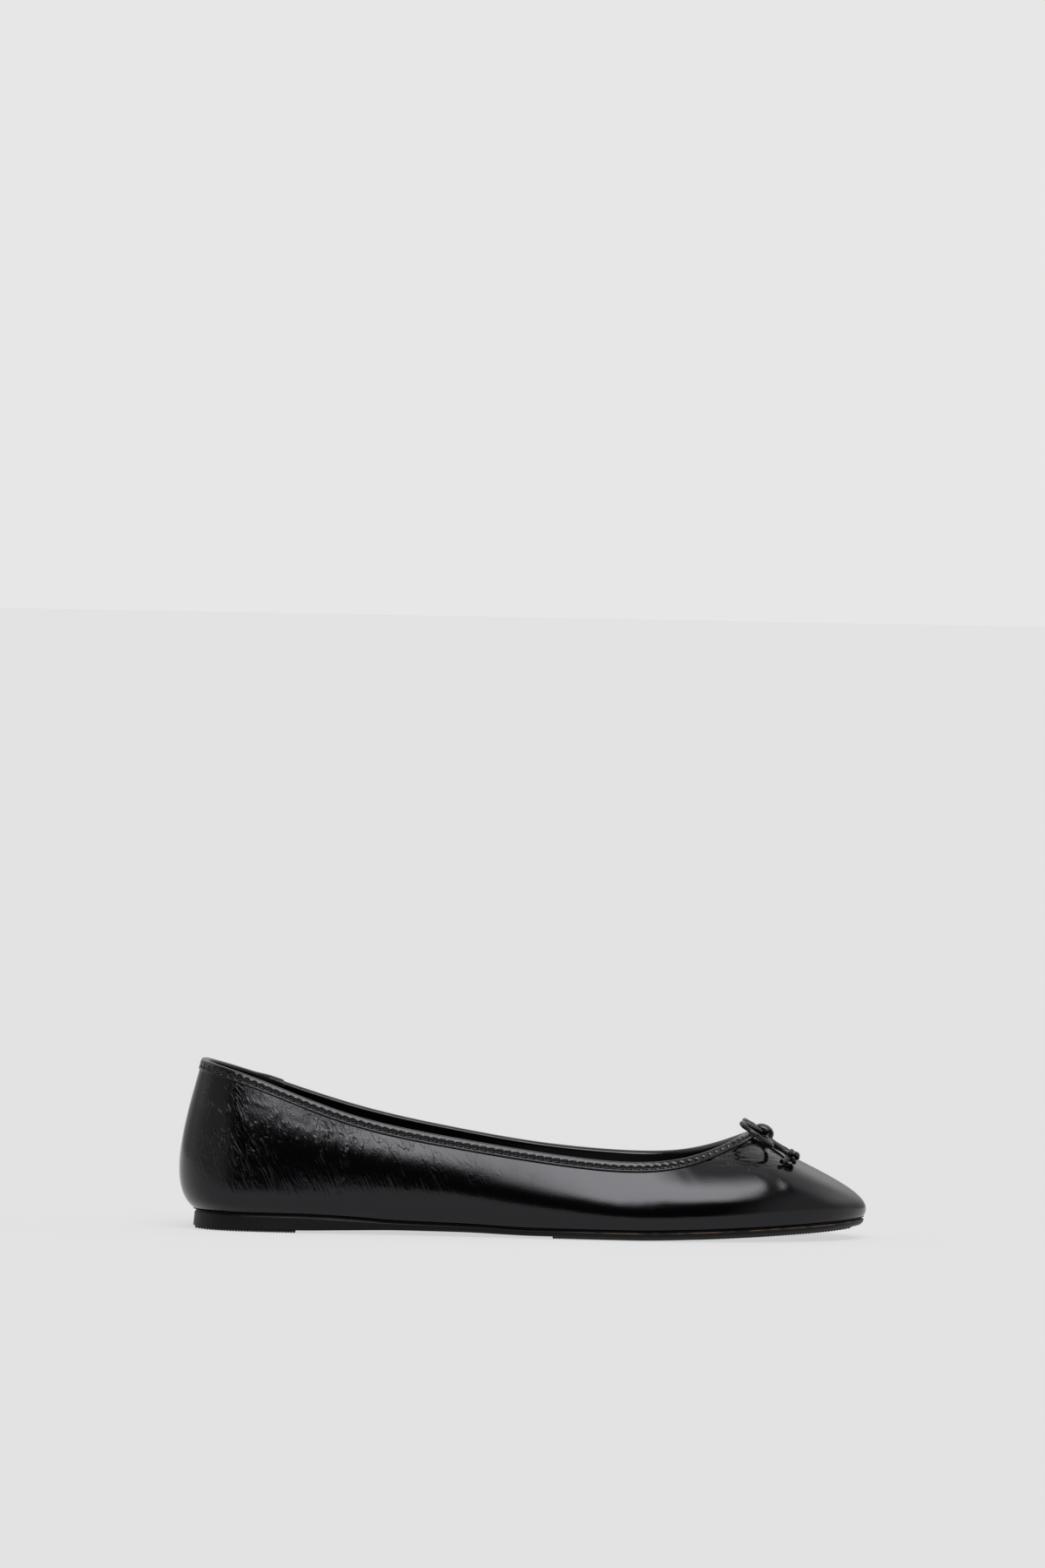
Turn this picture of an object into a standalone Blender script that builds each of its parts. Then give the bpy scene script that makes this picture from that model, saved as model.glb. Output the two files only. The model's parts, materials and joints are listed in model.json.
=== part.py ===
"""Ballet flat for the right foot: hollow leather upper, bound topline, low moulded sole and a cord bow.

The toe points along +X, the outer (lateral) side of the shoe faces -Y, and +Z is up.
The origin is on the floor, under the middle of the shoe's box.
"""

import math
from typing import NamedTuple

import bmesh
import bpy
import numpy as np
from mathutils import Vector
from mathutils.bvhtree import BVHTree

# Driving dimensions, in metres

SHOE_LENGTH = 0.2505
BALL_WIDTH = 0.0768
BACK_HEIGHT = 0.0618

UPPER_WALL = 0.0018
CLEARANCE = 0.0003

BINDING_WIDTH = 0.0043
BINDING_LEATHER = 0.00055
BINDING_ROUND = 0.0010
BINDING_HEADROOM = 0.0002
SKIVE_DEPTH = 0.0005

SOLE_THICKNESS = 0.0028
HEEL_RISE = 0.0032
TOE_SPRING = 0.0042
TREAD_THICKNESS = 0.0007
HEEL_TREAD_END = 0.0430
FOREFOOT_TREAD_START = 0.1360
HEEL_TREAD_INSET = 0.0006
FOREFOOT_TREAD_INSET = 0.0040
HEEL_EDGE_WAIST = 0.0017
FORE_EDGE_ROUND = 0.0013

INSOLE_THICKNESS = 0.0030
INSOLE_GAP = 0.0005

CORD_DIAMETER = 0.0018
BOW_SETBACK = 0.0075
TAIL_FORWARD = 0.0136
TAIL_SIDE = 0.0150
MEDIAL_SPREAD = 1.50
LOOP_REACH = 0.0200
LOOP_BREADTH = 0.0135
LOOP_LIFT = 0.0032
KNOT_LENGTH = 0.0070
KNOT_WIDTH = 0.0062
KNOT_HEIGHT = 0.0058
END_KNOT_DIAMETER = 0.0054
STUB_LENGTH = 0.0040

# How finely the curved pieces are faceted

RIBS_AROUND = 84
OUTER_ROWS = 11
INNER_ROWS = 9
ROW_EASE = 1.3
FILL_SHARES = (0.40, 0.75)
TREAD_STRIPS = 14
KNOT_SIDES = 16
CORD_STEP = 1.3  # in cord diameters
END_KNOT_SIDES = 12
END_KNOT_TURNS = (150, 120, 90, 60, 40)  # degrees from the stub, where its rings lie
BINDING_TURNS = (15, 52, 90, 128, 165)  # degrees over the topline, where the binding's top is faceted

# How finely the curves are measured

LEATHER_SAMPLES = 81
INNER_WALL_REACH = 0.5
BOX_SAMPLES = 41
VAMP_SAMPLES = 61
SIDE_SAMPLES = 401
SMALL_STEP = 0.001
VAMP_STEP = 0.01

# Shares that shape the pieces' hidden ends

FOOT_FADE = 0.15  # of a rib, over which the wall turns to stand level on the sole
SPINE_DRAW = 0.18  # of the way to the middle, for the line that a slab's faces close on
TIP_HALF = 0.12  # of a rib's step, half the blunt tip of a tread


class Rib(NamedTuple):
    """One rib of the last, from the sole's edge up to the finished topline.

    Along is a share of SHOE_LENGTH and across a share of BALL_WIDTH, with - on the lateral side.
    The top's height, and the two handles that curve the rib, are shares of BACK_HEIGHT. The low
    handle leaves the sole's edge, and the high one hangs below the topline.
    """

    foot_along: float
    foot_across: float
    top_along: float
    top_across: float
    top_height: float
    low_out: float
    low_up: float
    high_out: float
    high_down: float


# Ribs in order round the shoe: heel centre, lateral side, toe, medial side
RIBS = (
    Rib(0.022, 0.000, 0.032, 0.000, 1.000, 0.175, 0.130, 0.092, 0.340),
    Rib(0.050, -0.228, 0.046, -0.163, 0.982, 0.122, 0.095, 0.089, 0.325),
    Rib(0.128, -0.328, 0.120, -0.266, 0.890, 0.064, 0.080, 0.086, 0.290),
    Rib(0.260, -0.345, 0.248, -0.309, 0.706, 0.066, 0.100, 0.066, 0.210),
    Rib(0.400, -0.378, 0.388, -0.342, 0.589, 0.064, 0.132, 0.058, 0.178),
    Rib(0.532, -0.456, 0.520, -0.388, 0.511, 0.054, 0.128, 0.060, 0.146),
    Rib(0.652, -0.505, 0.640, -0.410, 0.464, 0.052, 0.113, 0.057, 0.129),
    Rib(0.770, -0.469, 0.724, -0.345, 0.482, 0.053, 0.170, 0.085, 0.125),
    Rib(0.884, -0.352, 0.778, -0.221, 0.544, 0.060, 0.195, 0.200, 0.135),
    Rib(0.960, -0.180, 0.808, -0.104, 0.598, 0.074, 0.160, 0.385, 0.200),
    Rib(0.995, 0.065, 0.819, 0.020, 0.618, 0.078, 0.124, 0.480, 0.243),
    Rib(0.971, 0.275, 0.812, 0.137, 0.599, 0.074, 0.160, 0.420, 0.213),
    Rib(0.900, 0.410, 0.784, 0.247, 0.548, 0.060, 0.195, 0.245, 0.145),
    Rib(0.788, 0.485, 0.732, 0.358, 0.492, 0.051, 0.170, 0.097, 0.125),
    Rib(0.672, 0.490, 0.652, 0.410, 0.476, 0.052, 0.121, 0.057, 0.129),
    Rib(0.548, 0.404, 0.528, 0.374, 0.515, 0.065, 0.125, 0.050, 0.146),
    Rib(0.412, 0.296, 0.396, 0.330, 0.600, 0.080, 0.150, 0.040, 0.178),
    Rib(0.272, 0.272, 0.256, 0.304, 0.722, 0.082, 0.140, 0.050, 0.210),
    Rib(0.132, 0.312, 0.120, 0.262, 0.893, 0.075, 0.152, 0.085, 0.290),
    Rib(0.050, 0.221, 0.046, 0.163, 0.984, 0.130, 0.130, 0.089, 0.325),
)
TOE_RIB = 10


class SoleStation(NamedTuple):
    """The sole's height at one place along the shoe.

    Along is a share of SHOE_LENGTH, lift of TOE_SPRING and rise of HEEL_RISE.
    """

    along: float
    lift: float
    rise: float


SOLE_STATIONS = (
    SoleStation(0.020, 0.00, 1.00),
    SoleStation(0.172, 0.00, 0.97),
    SoleStation(0.240, 0.08, 0.70),
    SoleStation(0.320, 0.17, 0.22),
    SoleStation(0.410, 0.15, 0.08),
    SoleStation(0.520, 0.00, 0.00),
    SoleStation(0.660, 0.00, 0.00),
    SoleStation(0.750, 0.13, 0.00),
    SoleStation(0.830, 0.34, 0.00),
    SoleStation(0.880, 0.52, 0.00),
    SoleStation(0.930, 0.71, 0.00),
    SoleStation(0.995, 1.00, 0.00),
)


class EdgeStep(NamedTuple):
    """One step of the sole's edge: drop is a share of its height, heel and fore how far in it lies there.

    Heel is a share of HEEL_EDGE_WAIST and fore a share of FORE_EDGE_ROUND.
    """

    drop: float
    heel: float
    fore: float


SOLE_EDGE = (
    EdgeStep(0.00, 0.00, 0.00),
    EdgeStep(0.10, 0.60, 0.60),
    EdgeStep(0.24, 0.26, 0.50),
    EdgeStep(0.34, 0.24, 0.04),
    EdgeStep(0.66, 0.13, 0.20),
    EdgeStep(1.00, 0.02, 1.00),
)


class BowPoint(NamedTuple):
    """A point of a cord of the bow, from the middle of the knot's foot on the vamp.

    Forward runs down the vamp to the toe, side out to the shoe's side, and lift off the leather.
    A loop's point has shares of LOOP_BREADTH, LOOP_REACH and LOOP_LIFT, and its lift is off the
    vamp's middle. A tail's has shares of TAIL_FORWARD, TAIL_SIDE and CORD_DIAMETER, and its lift
    is off the leather right below it.
    """

    forward: float
    side: float
    lift: float


LOOP_ROUTE = (
    BowPoint(-0.10, 0.180, 1.02),
    BowPoint(-0.32, 0.360, 1.10),
    BowPoint(-0.56, 0.600, 1.14),
    BowPoint(-0.59, 0.820, 1.04),
    BowPoint(-0.32, 0.985, 0.88),
    BowPoint(0.08, 0.970, 0.66),
    BowPoint(0.34, 0.780, 0.44),
    BowPoint(0.31, 0.500, 0.44),
    BowPoint(0.19, 0.310, 0.60),
    BowPoint(0.12, 0.180, 0.78),
)
TAIL_ROUTE = (
    BowPoint(0.29, 0.110, 1.15),
    BowPoint(0.53, 0.270, 1.45),
    BowPoint(0.77, 0.520, 1.50),
    BowPoint(0.91, 0.760, 1.50),
)
END_KNOT_PLACE = BowPoint(1.0, 1.0, 1.67)
STUB_WAY = BowPoint(-0.24, 0.28, -0.40)

BLACK_LEATHER = ("black leather", (0.012, 0.012, 0.013), 0.28)
BLACK_BINDING = ("black binding leather", (0.014, 0.014, 0.015), 0.36)
BLACK_SOLE = ("black moulded sole", (0.020, 0.020, 0.021), 0.45)
BLACK_RUBBER = ("black tread rubber", (0.016, 0.016, 0.016), 0.70)
BLACK_FOOTBED = ("black footbed", (0.022, 0.021, 0.021), 0.60)
BLACK_CORD = ("black leather cord", (0.012, 0.012, 0.012), 0.34)


def unit(vectors):
    """The vectors at length one."""
    return vectors / np.linalg.norm(vectors, axis=-1, keepdims=True)


def hermite(part, low, high, low_slope, high_slope):
    """The cubic between two values, from their slopes per step."""
    return (
        (2 * part**3 - 3 * part**2 + 1) * low
        + (part**3 - 2 * part**2 + part) * low_slope
        + (3 * part**2 - 2 * part**3) * high
        + (part**3 - part**2) * high_slope
    )


def closed_spline(rows):
    """A smooth closed curve through rows of values, one row at each whole number."""
    values = np.array(rows, float)
    count = len(values)
    links = np.eye(count)
    weights = 4 * links + np.roll(links, 1, axis=0) + np.roll(links, -1, axis=0)
    slopes = np.linalg.solve(weights, 3 * (np.roll(values, -1, axis=0) - np.roll(values, 1, axis=0)))

    def at(where):
        start = np.floor(where).astype(int)
        low, high = start % count, (start + 1) % count
        part = (where - start)[..., None]
        return hermite(part, values[low], values[high], slopes[low], slopes[high])

    return at


def level_spline(places, values):
    """A curve through a table that never overshoots, so that level stretches stay level."""
    x, y = np.array(places, float), np.array(values, float)
    step = np.diff(x)
    rise = np.diff(y) / step
    same_way = rise[:-1] * rise[1:] > 0
    total = np.where(same_way, rise[:-1] + rise[1:], 1.0)
    middle = np.where(same_way, 2 * rise[:-1] * rise[1:] / total, 0.0)
    slopes = np.concatenate([rise[:1], middle, rise[-1:]])

    def at(where):
        where = np.clip(where, x[0], x[-1])
        k = np.clip(np.searchsorted(x, where, side="right") - 1, 0, len(x) - 2)
        part = (where - x[k]) / step[k]
        return hermite(part, y[k], y[k + 1], slopes[k] * step[k], slopes[k + 1] * step[k])

    return at


# The sole's heights along the shoe

lift_at = level_spline([s.along for s in SOLE_STATIONS], [s.lift for s in SOLE_STATIONS])
rise_at = level_spline([s.along for s in SOLE_STATIONS], [s.rise for s in SOLE_STATIONS])


def tread_bottom(x):
    """The height of the treads' undersides, which touch the floor where the sole has no lift."""
    return TOE_SPRING * lift_at(x / SHOE_LENGTH)


def sole_bottom(x):
    """The height of the outsole's underside."""
    return tread_bottom(x) + TREAD_THICKNESS + CLEARANCE


def sole_top(x):
    """The height of the outsole's upper face, where the upper and the insole stand."""
    return sole_bottom(x) + SOLE_THICKNESS + HEEL_RISE * rise_at(x / SHOE_LENGTH)


# The upper's surface, as a function of the place around the shoe and the share of the way up

rib_at = closed_spline(RIBS)


def outline(around):
    """The sole's edge in plan."""
    row = rib_at(around)
    return np.stack([row[..., 0] * SHOE_LENGTH, row[..., 1] * BALL_WIDTH], axis=-1)


def outward(around):
    """The level direction square to the sole's edge, away from the shoe."""
    run = outline(around + SMALL_STEP) - outline(around - SMALL_STEP)
    return unit(np.stack([run[..., 1], -run[..., 0], np.zeros_like(run[..., 0])], axis=-1))


def surface(around, up):
    """A point of the upper's outside: up is 0 at the sole's edge and 1 at the finished topline."""
    around, up = np.broadcast_arrays(np.asarray(around, float), np.asarray(up, float))
    row = rib_at(around)
    plan = outline(around)
    out = outward(around)
    above = np.array([0.0, 0.0, 1.0])
    foot_height = sole_top(plan[..., 0]) + CLEARANCE
    foot = np.concatenate([plan, foot_height[..., None]], axis=-1)
    top = np.stack(
        [row[..., 2] * SHOE_LENGTH, row[..., 3] * BALL_WIDTH, row[..., 4] * BACK_HEIGHT], axis=-1
    )
    low_out, low_up, high_out, high_down = (row[..., k, None] * BACK_HEIGHT for k in range(5, 9))
    low = foot + low_out * out + low_up * above
    high = top + high_out * out - high_down * above
    t = up[..., None]
    return (1 - t) ** 3 * foot + 3 * t * (1 - t) ** 2 * low + 3 * t**2 * (1 - t) * high + t**3 * top


def normal(around, up):
    """The surface's outward direction."""
    across = surface(around + SMALL_STEP, up) - surface(around - SMALL_STEP, up)
    along = surface(around, up + SMALL_STEP) - surface(around, up - SMALL_STEP)
    return unit(np.cross(across, along))


def offset(around, up, out):
    """A point off the surface by out. The way out turns level at the foot, so the wall stands flat."""
    around, up = np.broadcast_arrays(np.asarray(around, float), np.asarray(up, float))
    way = normal(around, up)
    fade = np.clip(up / FOOT_FADE, 0, 1)
    way[..., 2] *= fade * fade * (3 - 2 * fade)
    return surface(around, up) + out * unit(way)


def up_below_edge(around, distance):
    """How far up each rib this distance below the finished topline lies, along the leather."""
    fine = np.linspace(0, 1, LEATHER_SAMPLES)
    points = surface(around[:, None], fine[None, :])
    runs = np.linalg.norm(np.diff(points, axis=1), axis=2)
    below = np.cumsum(runs[:, ::-1], axis=1)[:, ::-1]
    below = np.concatenate([below, np.zeros((len(around), 1))], axis=1)
    return np.array([np.interp(-distance, -row, fine) for row in below])


def up_at_rise(around, rise):
    """How far up the inner wall lies this height above the wall's foot."""
    fine = np.linspace(0, INNER_WALL_REACH, LEATHER_SAMPLES)
    heights = offset(around[:, None], fine[None, :], -UPPER_WALL)[..., 2]
    return np.array([np.interp(rise, row - row[0], fine) for row in heights])


AROUND = np.arange(RIBS_AROUND) * len(RIBS) / RIBS_AROUND


def plan_middle():
    """The middle of the upper's box in plan, which becomes the origin."""
    shell = surface(AROUND[:, None], np.linspace(0, 1, BOX_SAMPLES)[None, :]).reshape(-1, 3)
    middle = (shell.min(axis=0) + shell.max(axis=0)) / 2
    return np.array([middle[0], middle[1], 0.0])


MIDDLE = plan_middle()


# Mesh helpers


def make_material(finish):
    """A plain surface of this name, colour and roughness."""
    name, colour, roughness = finish
    material = bpy.data.materials.get(name) or bpy.data.materials.new(name)
    material.use_nodes = True
    shader = material.node_tree.nodes["Principled BSDF"]
    shader.inputs["Base Color"].default_value = (*colour, 1.0)
    shader.inputs["Roughness"].default_value = roughness
    shader.inputs["Metallic"].default_value = 0.0
    return material


def add_mesh(name, points, faces, finish):
    """One named solid, moved so that the origin is under the middle of the shoe."""
    mesh = bpy.data.meshes.new(name)
    mesh.from_pydata([tuple(p) for p in np.asarray(points) - MIDDLE], [], faces)
    shape = bmesh.new()
    shape.from_mesh(mesh)
    bmesh.ops.recalc_face_normals(shape, faces=shape.faces)
    shape.to_mesh(mesh)
    shape.free()
    mesh.materials.append(make_material(finish))
    mesh.shade_smooth()
    mesh.set_sharp_from_angle(angle=math.radians(40))
    obj = bpy.data.objects.new(name, mesh)
    bpy.context.scene.collection.objects.link(obj)
    return obj


def band(first, second, count, closed=True):
    """The quads between two rows of points that start at these indices."""
    last = count if closed else count - 1
    return [
        (first + i, first + (i + 1) % count, second + (i + 1) % count, second + i)
        for i in range(last)
    ]


def add_ring_sweep(name, rings, finish):
    """A closed band round the shoe, from the rings of points that make its section."""
    count = len(rings[0])
    faces = []
    for k in range(len(rings)):
        faces += band(k * count, (k + 1) % len(rings) * count, count)
    return add_mesh(name, np.concatenate(rings), faces, finish)


def spine_of(ring):
    """The line that a flat fill closes on, down a ring's middle, a point for each pair of its points."""
    count = len(ring)
    pairs = [(ring[i] + ring[-i % count]) / 2 for i in range(count // 2 + 1)]
    middle = sum(pairs) / len(pairs)
    return np.array([p + (middle - p) * np.array([SPINE_DRAW, 0.0, 0.0]) for p in pairs])


def fill_rings(ring, height_at):
    """Rings from an edge in to its spine, with their heights read from the sole."""
    count = len(ring)
    spine = spine_of(ring)
    partner = np.array([spine[min(i, count - i)] for i in range(count)])
    rings = []
    for share in FILL_SHARES:
        inner = ring + (partner - ring) * share
        inner[:, 2] = height_at(inner[:, 0])
        rings.append(inner)
    spine[:, 2] = height_at(spine[:, 0])
    return rings, spine


def add_slab(name, edge_rings, bottom_at, top_at, finish):
    """A slab in the sole's outline: edge rings from the top down, with a filled face at either end."""
    count = len(edge_rings[0])
    top_rings, top_spine = fill_rings(edge_rings[0], top_at)
    bottom_rings, bottom_spine = fill_rings(edge_rings[-1], bottom_at)
    rings = top_rings[::-1] + list(edge_rings) + bottom_rings
    faces = []
    for k in range(len(rings) - 1):
        faces += [face[::-1] for face in band(k * count, (k + 1) * count, count)]
    top_start = len(rings) * count
    bottom_start = top_start + len(top_spine)
    last = (len(rings) - 1) * count
    for i in range(count):
        j = (i + 1) % count
        near, far = min(i, count - i), min(j, count - j) if j else 0
        faces.append((i, j, top_start + far, top_start + near))
        faces.append((last + j, last + i, bottom_start + near, bottom_start + far))
    points = np.concatenate([*rings, top_spine, bottom_spine])
    return add_mesh(name, points, faces, finish)


# The pieces


def row_shares(count):
    """Shares of the way up the wall for its rows, which lie closer together near the sole."""
    return (np.arange(count) / (count - 1)) ** ROW_EASE


def add_upper():
    """The hollow leather shell: outside, skived step under the binding, edge and lining side."""
    step_up = up_below_edge(AROUND, BINDING_WIDTH + CLEARANCE)
    edge_up = up_below_edge(AROUND, BINDING_LEATHER + BINDING_HEADROOM + CLEARANCE)
    outer = [offset(AROUND, step_up * share, 0.0) for share in row_shares(OUTER_ROWS)]
    skived = [offset(AROUND, up, -SKIVE_DEPTH) for up in (step_up, edge_up)]
    inner = [offset(AROUND, edge_up * share, -UPPER_WALL) for share in row_shares(INNER_ROWS)]
    return add_ring_sweep("upper", outer + skived + inner[::-1], BLACK_LEATHER)


def add_binding():
    """The strip folded over the topline, inside and out, with a rounded top."""
    proud = BINDING_LEATHER + CLEARANCE - SKIVE_DEPTH
    lining_side = -UPPER_WALL - CLEARANCE
    far_side = lining_side - BINDING_LEATHER
    centre = (proud + far_side) / 2
    half = (proud - far_side) / 2
    section = [(BINDING_WIDTH, proud)]
    for degrees in BINDING_TURNS:
        turn = math.radians(degrees)
        section.append((BINDING_ROUND * (1 - math.sin(turn)), centre + half * math.cos(turn)))
    under = BINDING_LEATHER + BINDING_HEADROOM
    section += [
        (BINDING_WIDTH, far_side),
        (BINDING_WIDTH, lining_side),
        (under, lining_side),
        (under, CLEARANCE - SKIVE_DEPTH),
        (BINDING_WIDTH, CLEARANCE - SKIVE_DEPTH),
    ]
    rings = [offset(AROUND, up_below_edge(AROUND, below), out) for below, out in section]
    return add_ring_sweep("topline_binding", rings, BLACK_BINDING)


def add_insole():
    """The footbed, which follows the inner wall with a small gap."""
    inward = -UPPER_WALL - INSOLE_GAP
    top_up = up_at_rise(AROUND, INSOLE_THICKNESS)
    rings = []
    for share in (1.0, 0.5, 0.0):
        ring = offset(AROUND, top_up * share, inward)
        ring[:, 2] = sole_top(ring[:, 0]) + CLEARANCE + INSOLE_THICKNESS * share
        rings.append(ring)
    return add_slab(
        "insole",
        rings,
        lambda x: sole_top(x) + CLEARANCE,
        lambda x: sole_top(x) + CLEARANCE + INSOLE_THICKNESS,
        BLACK_FOOTBED,
    )


def add_outsole():
    """The moulded sole, with a groove under the upper all round and a rounded edge at the forefoot."""
    plan = outline(AROUND)
    rise = rise_at(plan[:, 0] / SHOE_LENGTH)[:, None]
    way = outward(AROUND)
    top = sole_top(plan[:, 0])
    height = top - sole_bottom(plan[:, 0])
    rings = []
    for step in SOLE_EDGE:
        inset = HEEL_EDGE_WAIST * step.heel * rise + FORE_EDGE_ROUND * step.fore * (1 - rise)
        ring = np.concatenate([plan, (top - height * step.drop)[:, None]], axis=1) - inset * way
        rings.append(ring)
    rings[0][:, 2] = sole_top(rings[0][:, 0])
    rings[-1][:, 2] = sole_bottom(rings[-1][:, 0])
    return add_slab("outsole", rings, sole_bottom, sole_top, BLACK_SOLE)


def place_at(x, far_rib):
    """The place on one side, between heel and toe, where the sole's edge is this far along."""
    fine = np.linspace(far_rib, TOE_RIB, SIDE_SAMPLES)
    return float(np.interp(x, outline(fine)[:, 0], fine))


def add_tread(name, tip_rib, cut_x, inset):
    """A thin pad under the sole, cut straight across at one end and rounded like the sole at its tip."""
    last_rib = len(RIBS)
    tips = (TIP_HALF, last_rib - TIP_HALF)
    if tip_rib == TOE_RIB:
        tips = (TOE_RIB - TIP_HALF, TOE_RIB + TIP_HALF)
    sides = []
    for tip, far_rib in zip(tips, (0, last_rib)):
        places = np.linspace(tip, place_at(cut_x, far_rib), TREAD_STRIPS + 1)
        plan = outline(places) - inset * outward(places)[:, :2]
        sides.append(plan)
    points = []
    for height in (0.0, TREAD_THICKNESS):
        for plan in sides:
            points += [(x, y, tread_bottom(x) + height) for x, y in plan]
    row = TREAD_STRIPS + 1
    faces = []
    for i in range(TREAD_STRIPS):
        faces.append((i, i + 1, row + i + 1, row + i))
        faces.append((2 * row + i, 3 * row + i, 3 * row + i + 1, 2 * row + i + 1))
        faces.append((i, 2 * row + i, 2 * row + i + 1, i + 1))
        faces.append((row + i, row + i + 1, 3 * row + i + 1, 3 * row + i))
    for i in (0, TREAD_STRIPS):
        faces.append((i, row + i, 3 * row + i, 2 * row + i))
    return add_mesh(name, points, faces, BLACK_RUBBER)


# The bow's own directions on the vamp

KNOT_UP = up_below_edge(np.array([float(TOE_RIB)]), BOW_SETBACK)[0]
KNOT_FOOT = surface(TOE_RIB, KNOT_UP)
OFF_VAMP = normal(TOE_RIB, KNOT_UP)
FORWARD = unit(surface(TOE_RIB, KNOT_UP - VAMP_STEP) - surface(TOE_RIB, KNOT_UP + VAMP_STEP))
SIDE = np.cross(FORWARD, OFF_VAMP)


def vamp_tree():
    """The upper's outside as a tree that rays can be cast at."""
    ups = np.linspace(0, 1, VAMP_SAMPLES)
    rows = [surface(AROUND, up) for up in ups]
    faces = []
    for k in range(len(ups) - 1):
        faces += band(k * RIBS_AROUND, (k + 1) * RIBS_AROUND, RIBS_AROUND)
    return BVHTree.FromPolygons([Vector(p) for p in np.concatenate(rows)], faces)


VAMP = vamp_tree()


def on_vamp(forward, side, lift):
    """A point this far off the leather, above the place that lies forward and to the side of the knot."""
    high = KNOT_FOOT + forward * FORWARD + side * SIDE + LOOP_REACH * OFF_VAMP
    place, way, _, _ = VAMP.ray_cast(Vector(high), Vector(-OFF_VAMP))
    return np.array(place) + lift * np.array(way)


def loop_points(hand):
    """The loop's route on one side: hand is 1 for lateral and -1 for medial."""
    return [
        KNOT_FOOT
        + p.forward * LOOP_BREADTH * FORWARD
        + p.side * LOOP_REACH * hand * SIDE
        + p.lift * LOOP_LIFT * OFF_VAMP
        for p in LOOP_ROUTE
    ]


def tail_point(point, hand):
    """A tail's point on one side."""
    spread = 1.0 if hand > 0 else MEDIAL_SPREAD
    side = point.side * TAIL_SIDE * hand * spread
    return on_vamp(point.forward * TAIL_FORWARD, side, point.lift * CORD_DIAMETER)


def tail_points(hand):
    """The tail's route, which stops just short of its end knot."""
    points = [tail_point(p, hand) for p in TAIL_ROUTE]
    centre = tail_point(END_KNOT_PLACE, hand)
    way = unit(centre - points[-1])
    return points + [centre - way * (END_KNOT_DIAMETER / 2 + CLEARANCE)]


def smooth_route(points, step):
    """Points at about this spacing along a smooth curve through the route's own points."""
    points = np.array(points)
    ways = np.gradient(points, axis=0)
    made = [points[0]]
    for k in range(len(points) - 1):
        pieces = max(1, round(float(np.linalg.norm(points[k + 1] - points[k])) / step))
        for part in np.arange(1, pieces + 1) / pieces:
            made.append(hermite(part, points[k], points[k + 1], ways[k], ways[k + 1]))
    return made


def add_cord(name, points):
    """A round cord along a route, with closed ends."""
    curve = bpy.data.curves.new(name, "CURVE")
    curve.dimensions = "3D"
    curve.bevel_depth = CORD_DIAMETER / 2
    curve.bevel_resolution = 2
    curve.use_fill_caps = True
    route = smooth_route(points, CORD_STEP * CORD_DIAMETER)
    spline = curve.splines.new("POLY")
    spline.points.add(len(route) - 1)
    for point, place in zip(spline.points, route):
        point.co = (*(place - MIDDLE), 1.0)
    curve.materials.append(make_material(BLACK_CORD))
    obj = bpy.data.objects.new(name, curve)
    bpy.context.scene.collection.objects.link(obj)
    return obj


def add_turned(name, centre, axis, profile):
    """A solid turned about an axis, from a profile of places along it and radii, closed at both ends."""
    sides = END_KNOT_SIDES
    axis = unit(np.array(axis))
    first = unit(np.cross(axis, OFF_VAMP))
    second = np.cross(axis, first)
    points = [centre + profile[0][0] * axis]
    for along, radius in profile[1:-1]:
        for k in range(sides):
            turn = 2 * math.pi * k / sides
            points.append(centre + along * axis + radius * (math.cos(turn) * first + math.sin(turn) * second))
    points.append(centre + profile[-1][0] * axis)
    faces = [(0, 1 + (k + 1) % sides, 1 + k) for k in range(sides)]
    for ring in range(len(profile) - 3):
        faces += band(1 + ring * sides, 1 + (ring + 1) * sides, sides)
    last = 1 + (len(profile) - 3) * sides
    faces += [(last + k, last + (k + 1) % sides, len(points) - 1) for k in range(sides)]
    return add_mesh(name, points, faces, BLACK_CORD)


def add_bow_knot():
    """The bow's middle knot: a rounded lump, a little longer than wide, that stands on the vamp."""
    centre = KNOT_FOOT + (CLEARANCE + KNOT_HEIGHT / 2) * OFF_VAMP
    points, faces = [], []
    rings = KNOT_SIDES // 2
    turns = [(math.pi * ring / rings, k) for ring in range(1, rings) for k in range(KNOT_SIDES)]
    for down, k in turns:
        turn = 2 * math.pi * k / KNOT_SIDES
        points.append(
            centre
            + KNOT_LENGTH / 2 * math.sin(down) * math.cos(turn) * FORWARD
            + KNOT_WIDTH / 2 * math.sin(down) * math.sin(turn) * SIDE
            + KNOT_HEIGHT / 2 * math.cos(down) * OFF_VAMP
        )
    for ring in range(rings - 2):
        faces += band(ring * KNOT_SIDES, (ring + 1) * KNOT_SIDES, KNOT_SIDES)
    low = (rings - 2) * KNOT_SIDES
    points += [centre + KNOT_HEIGHT / 2 * OFF_VAMP, centre - KNOT_HEIGHT / 2 * OFF_VAMP]
    for k in range(KNOT_SIDES):
        nearby = (k + 1) % KNOT_SIDES
        faces.append((len(points) - 2, nearby, k))
        faces.append((len(points) - 1, low + k, low + nearby))
    return add_mesh("bow_knot", points, faces, BLACK_CORD)


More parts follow.
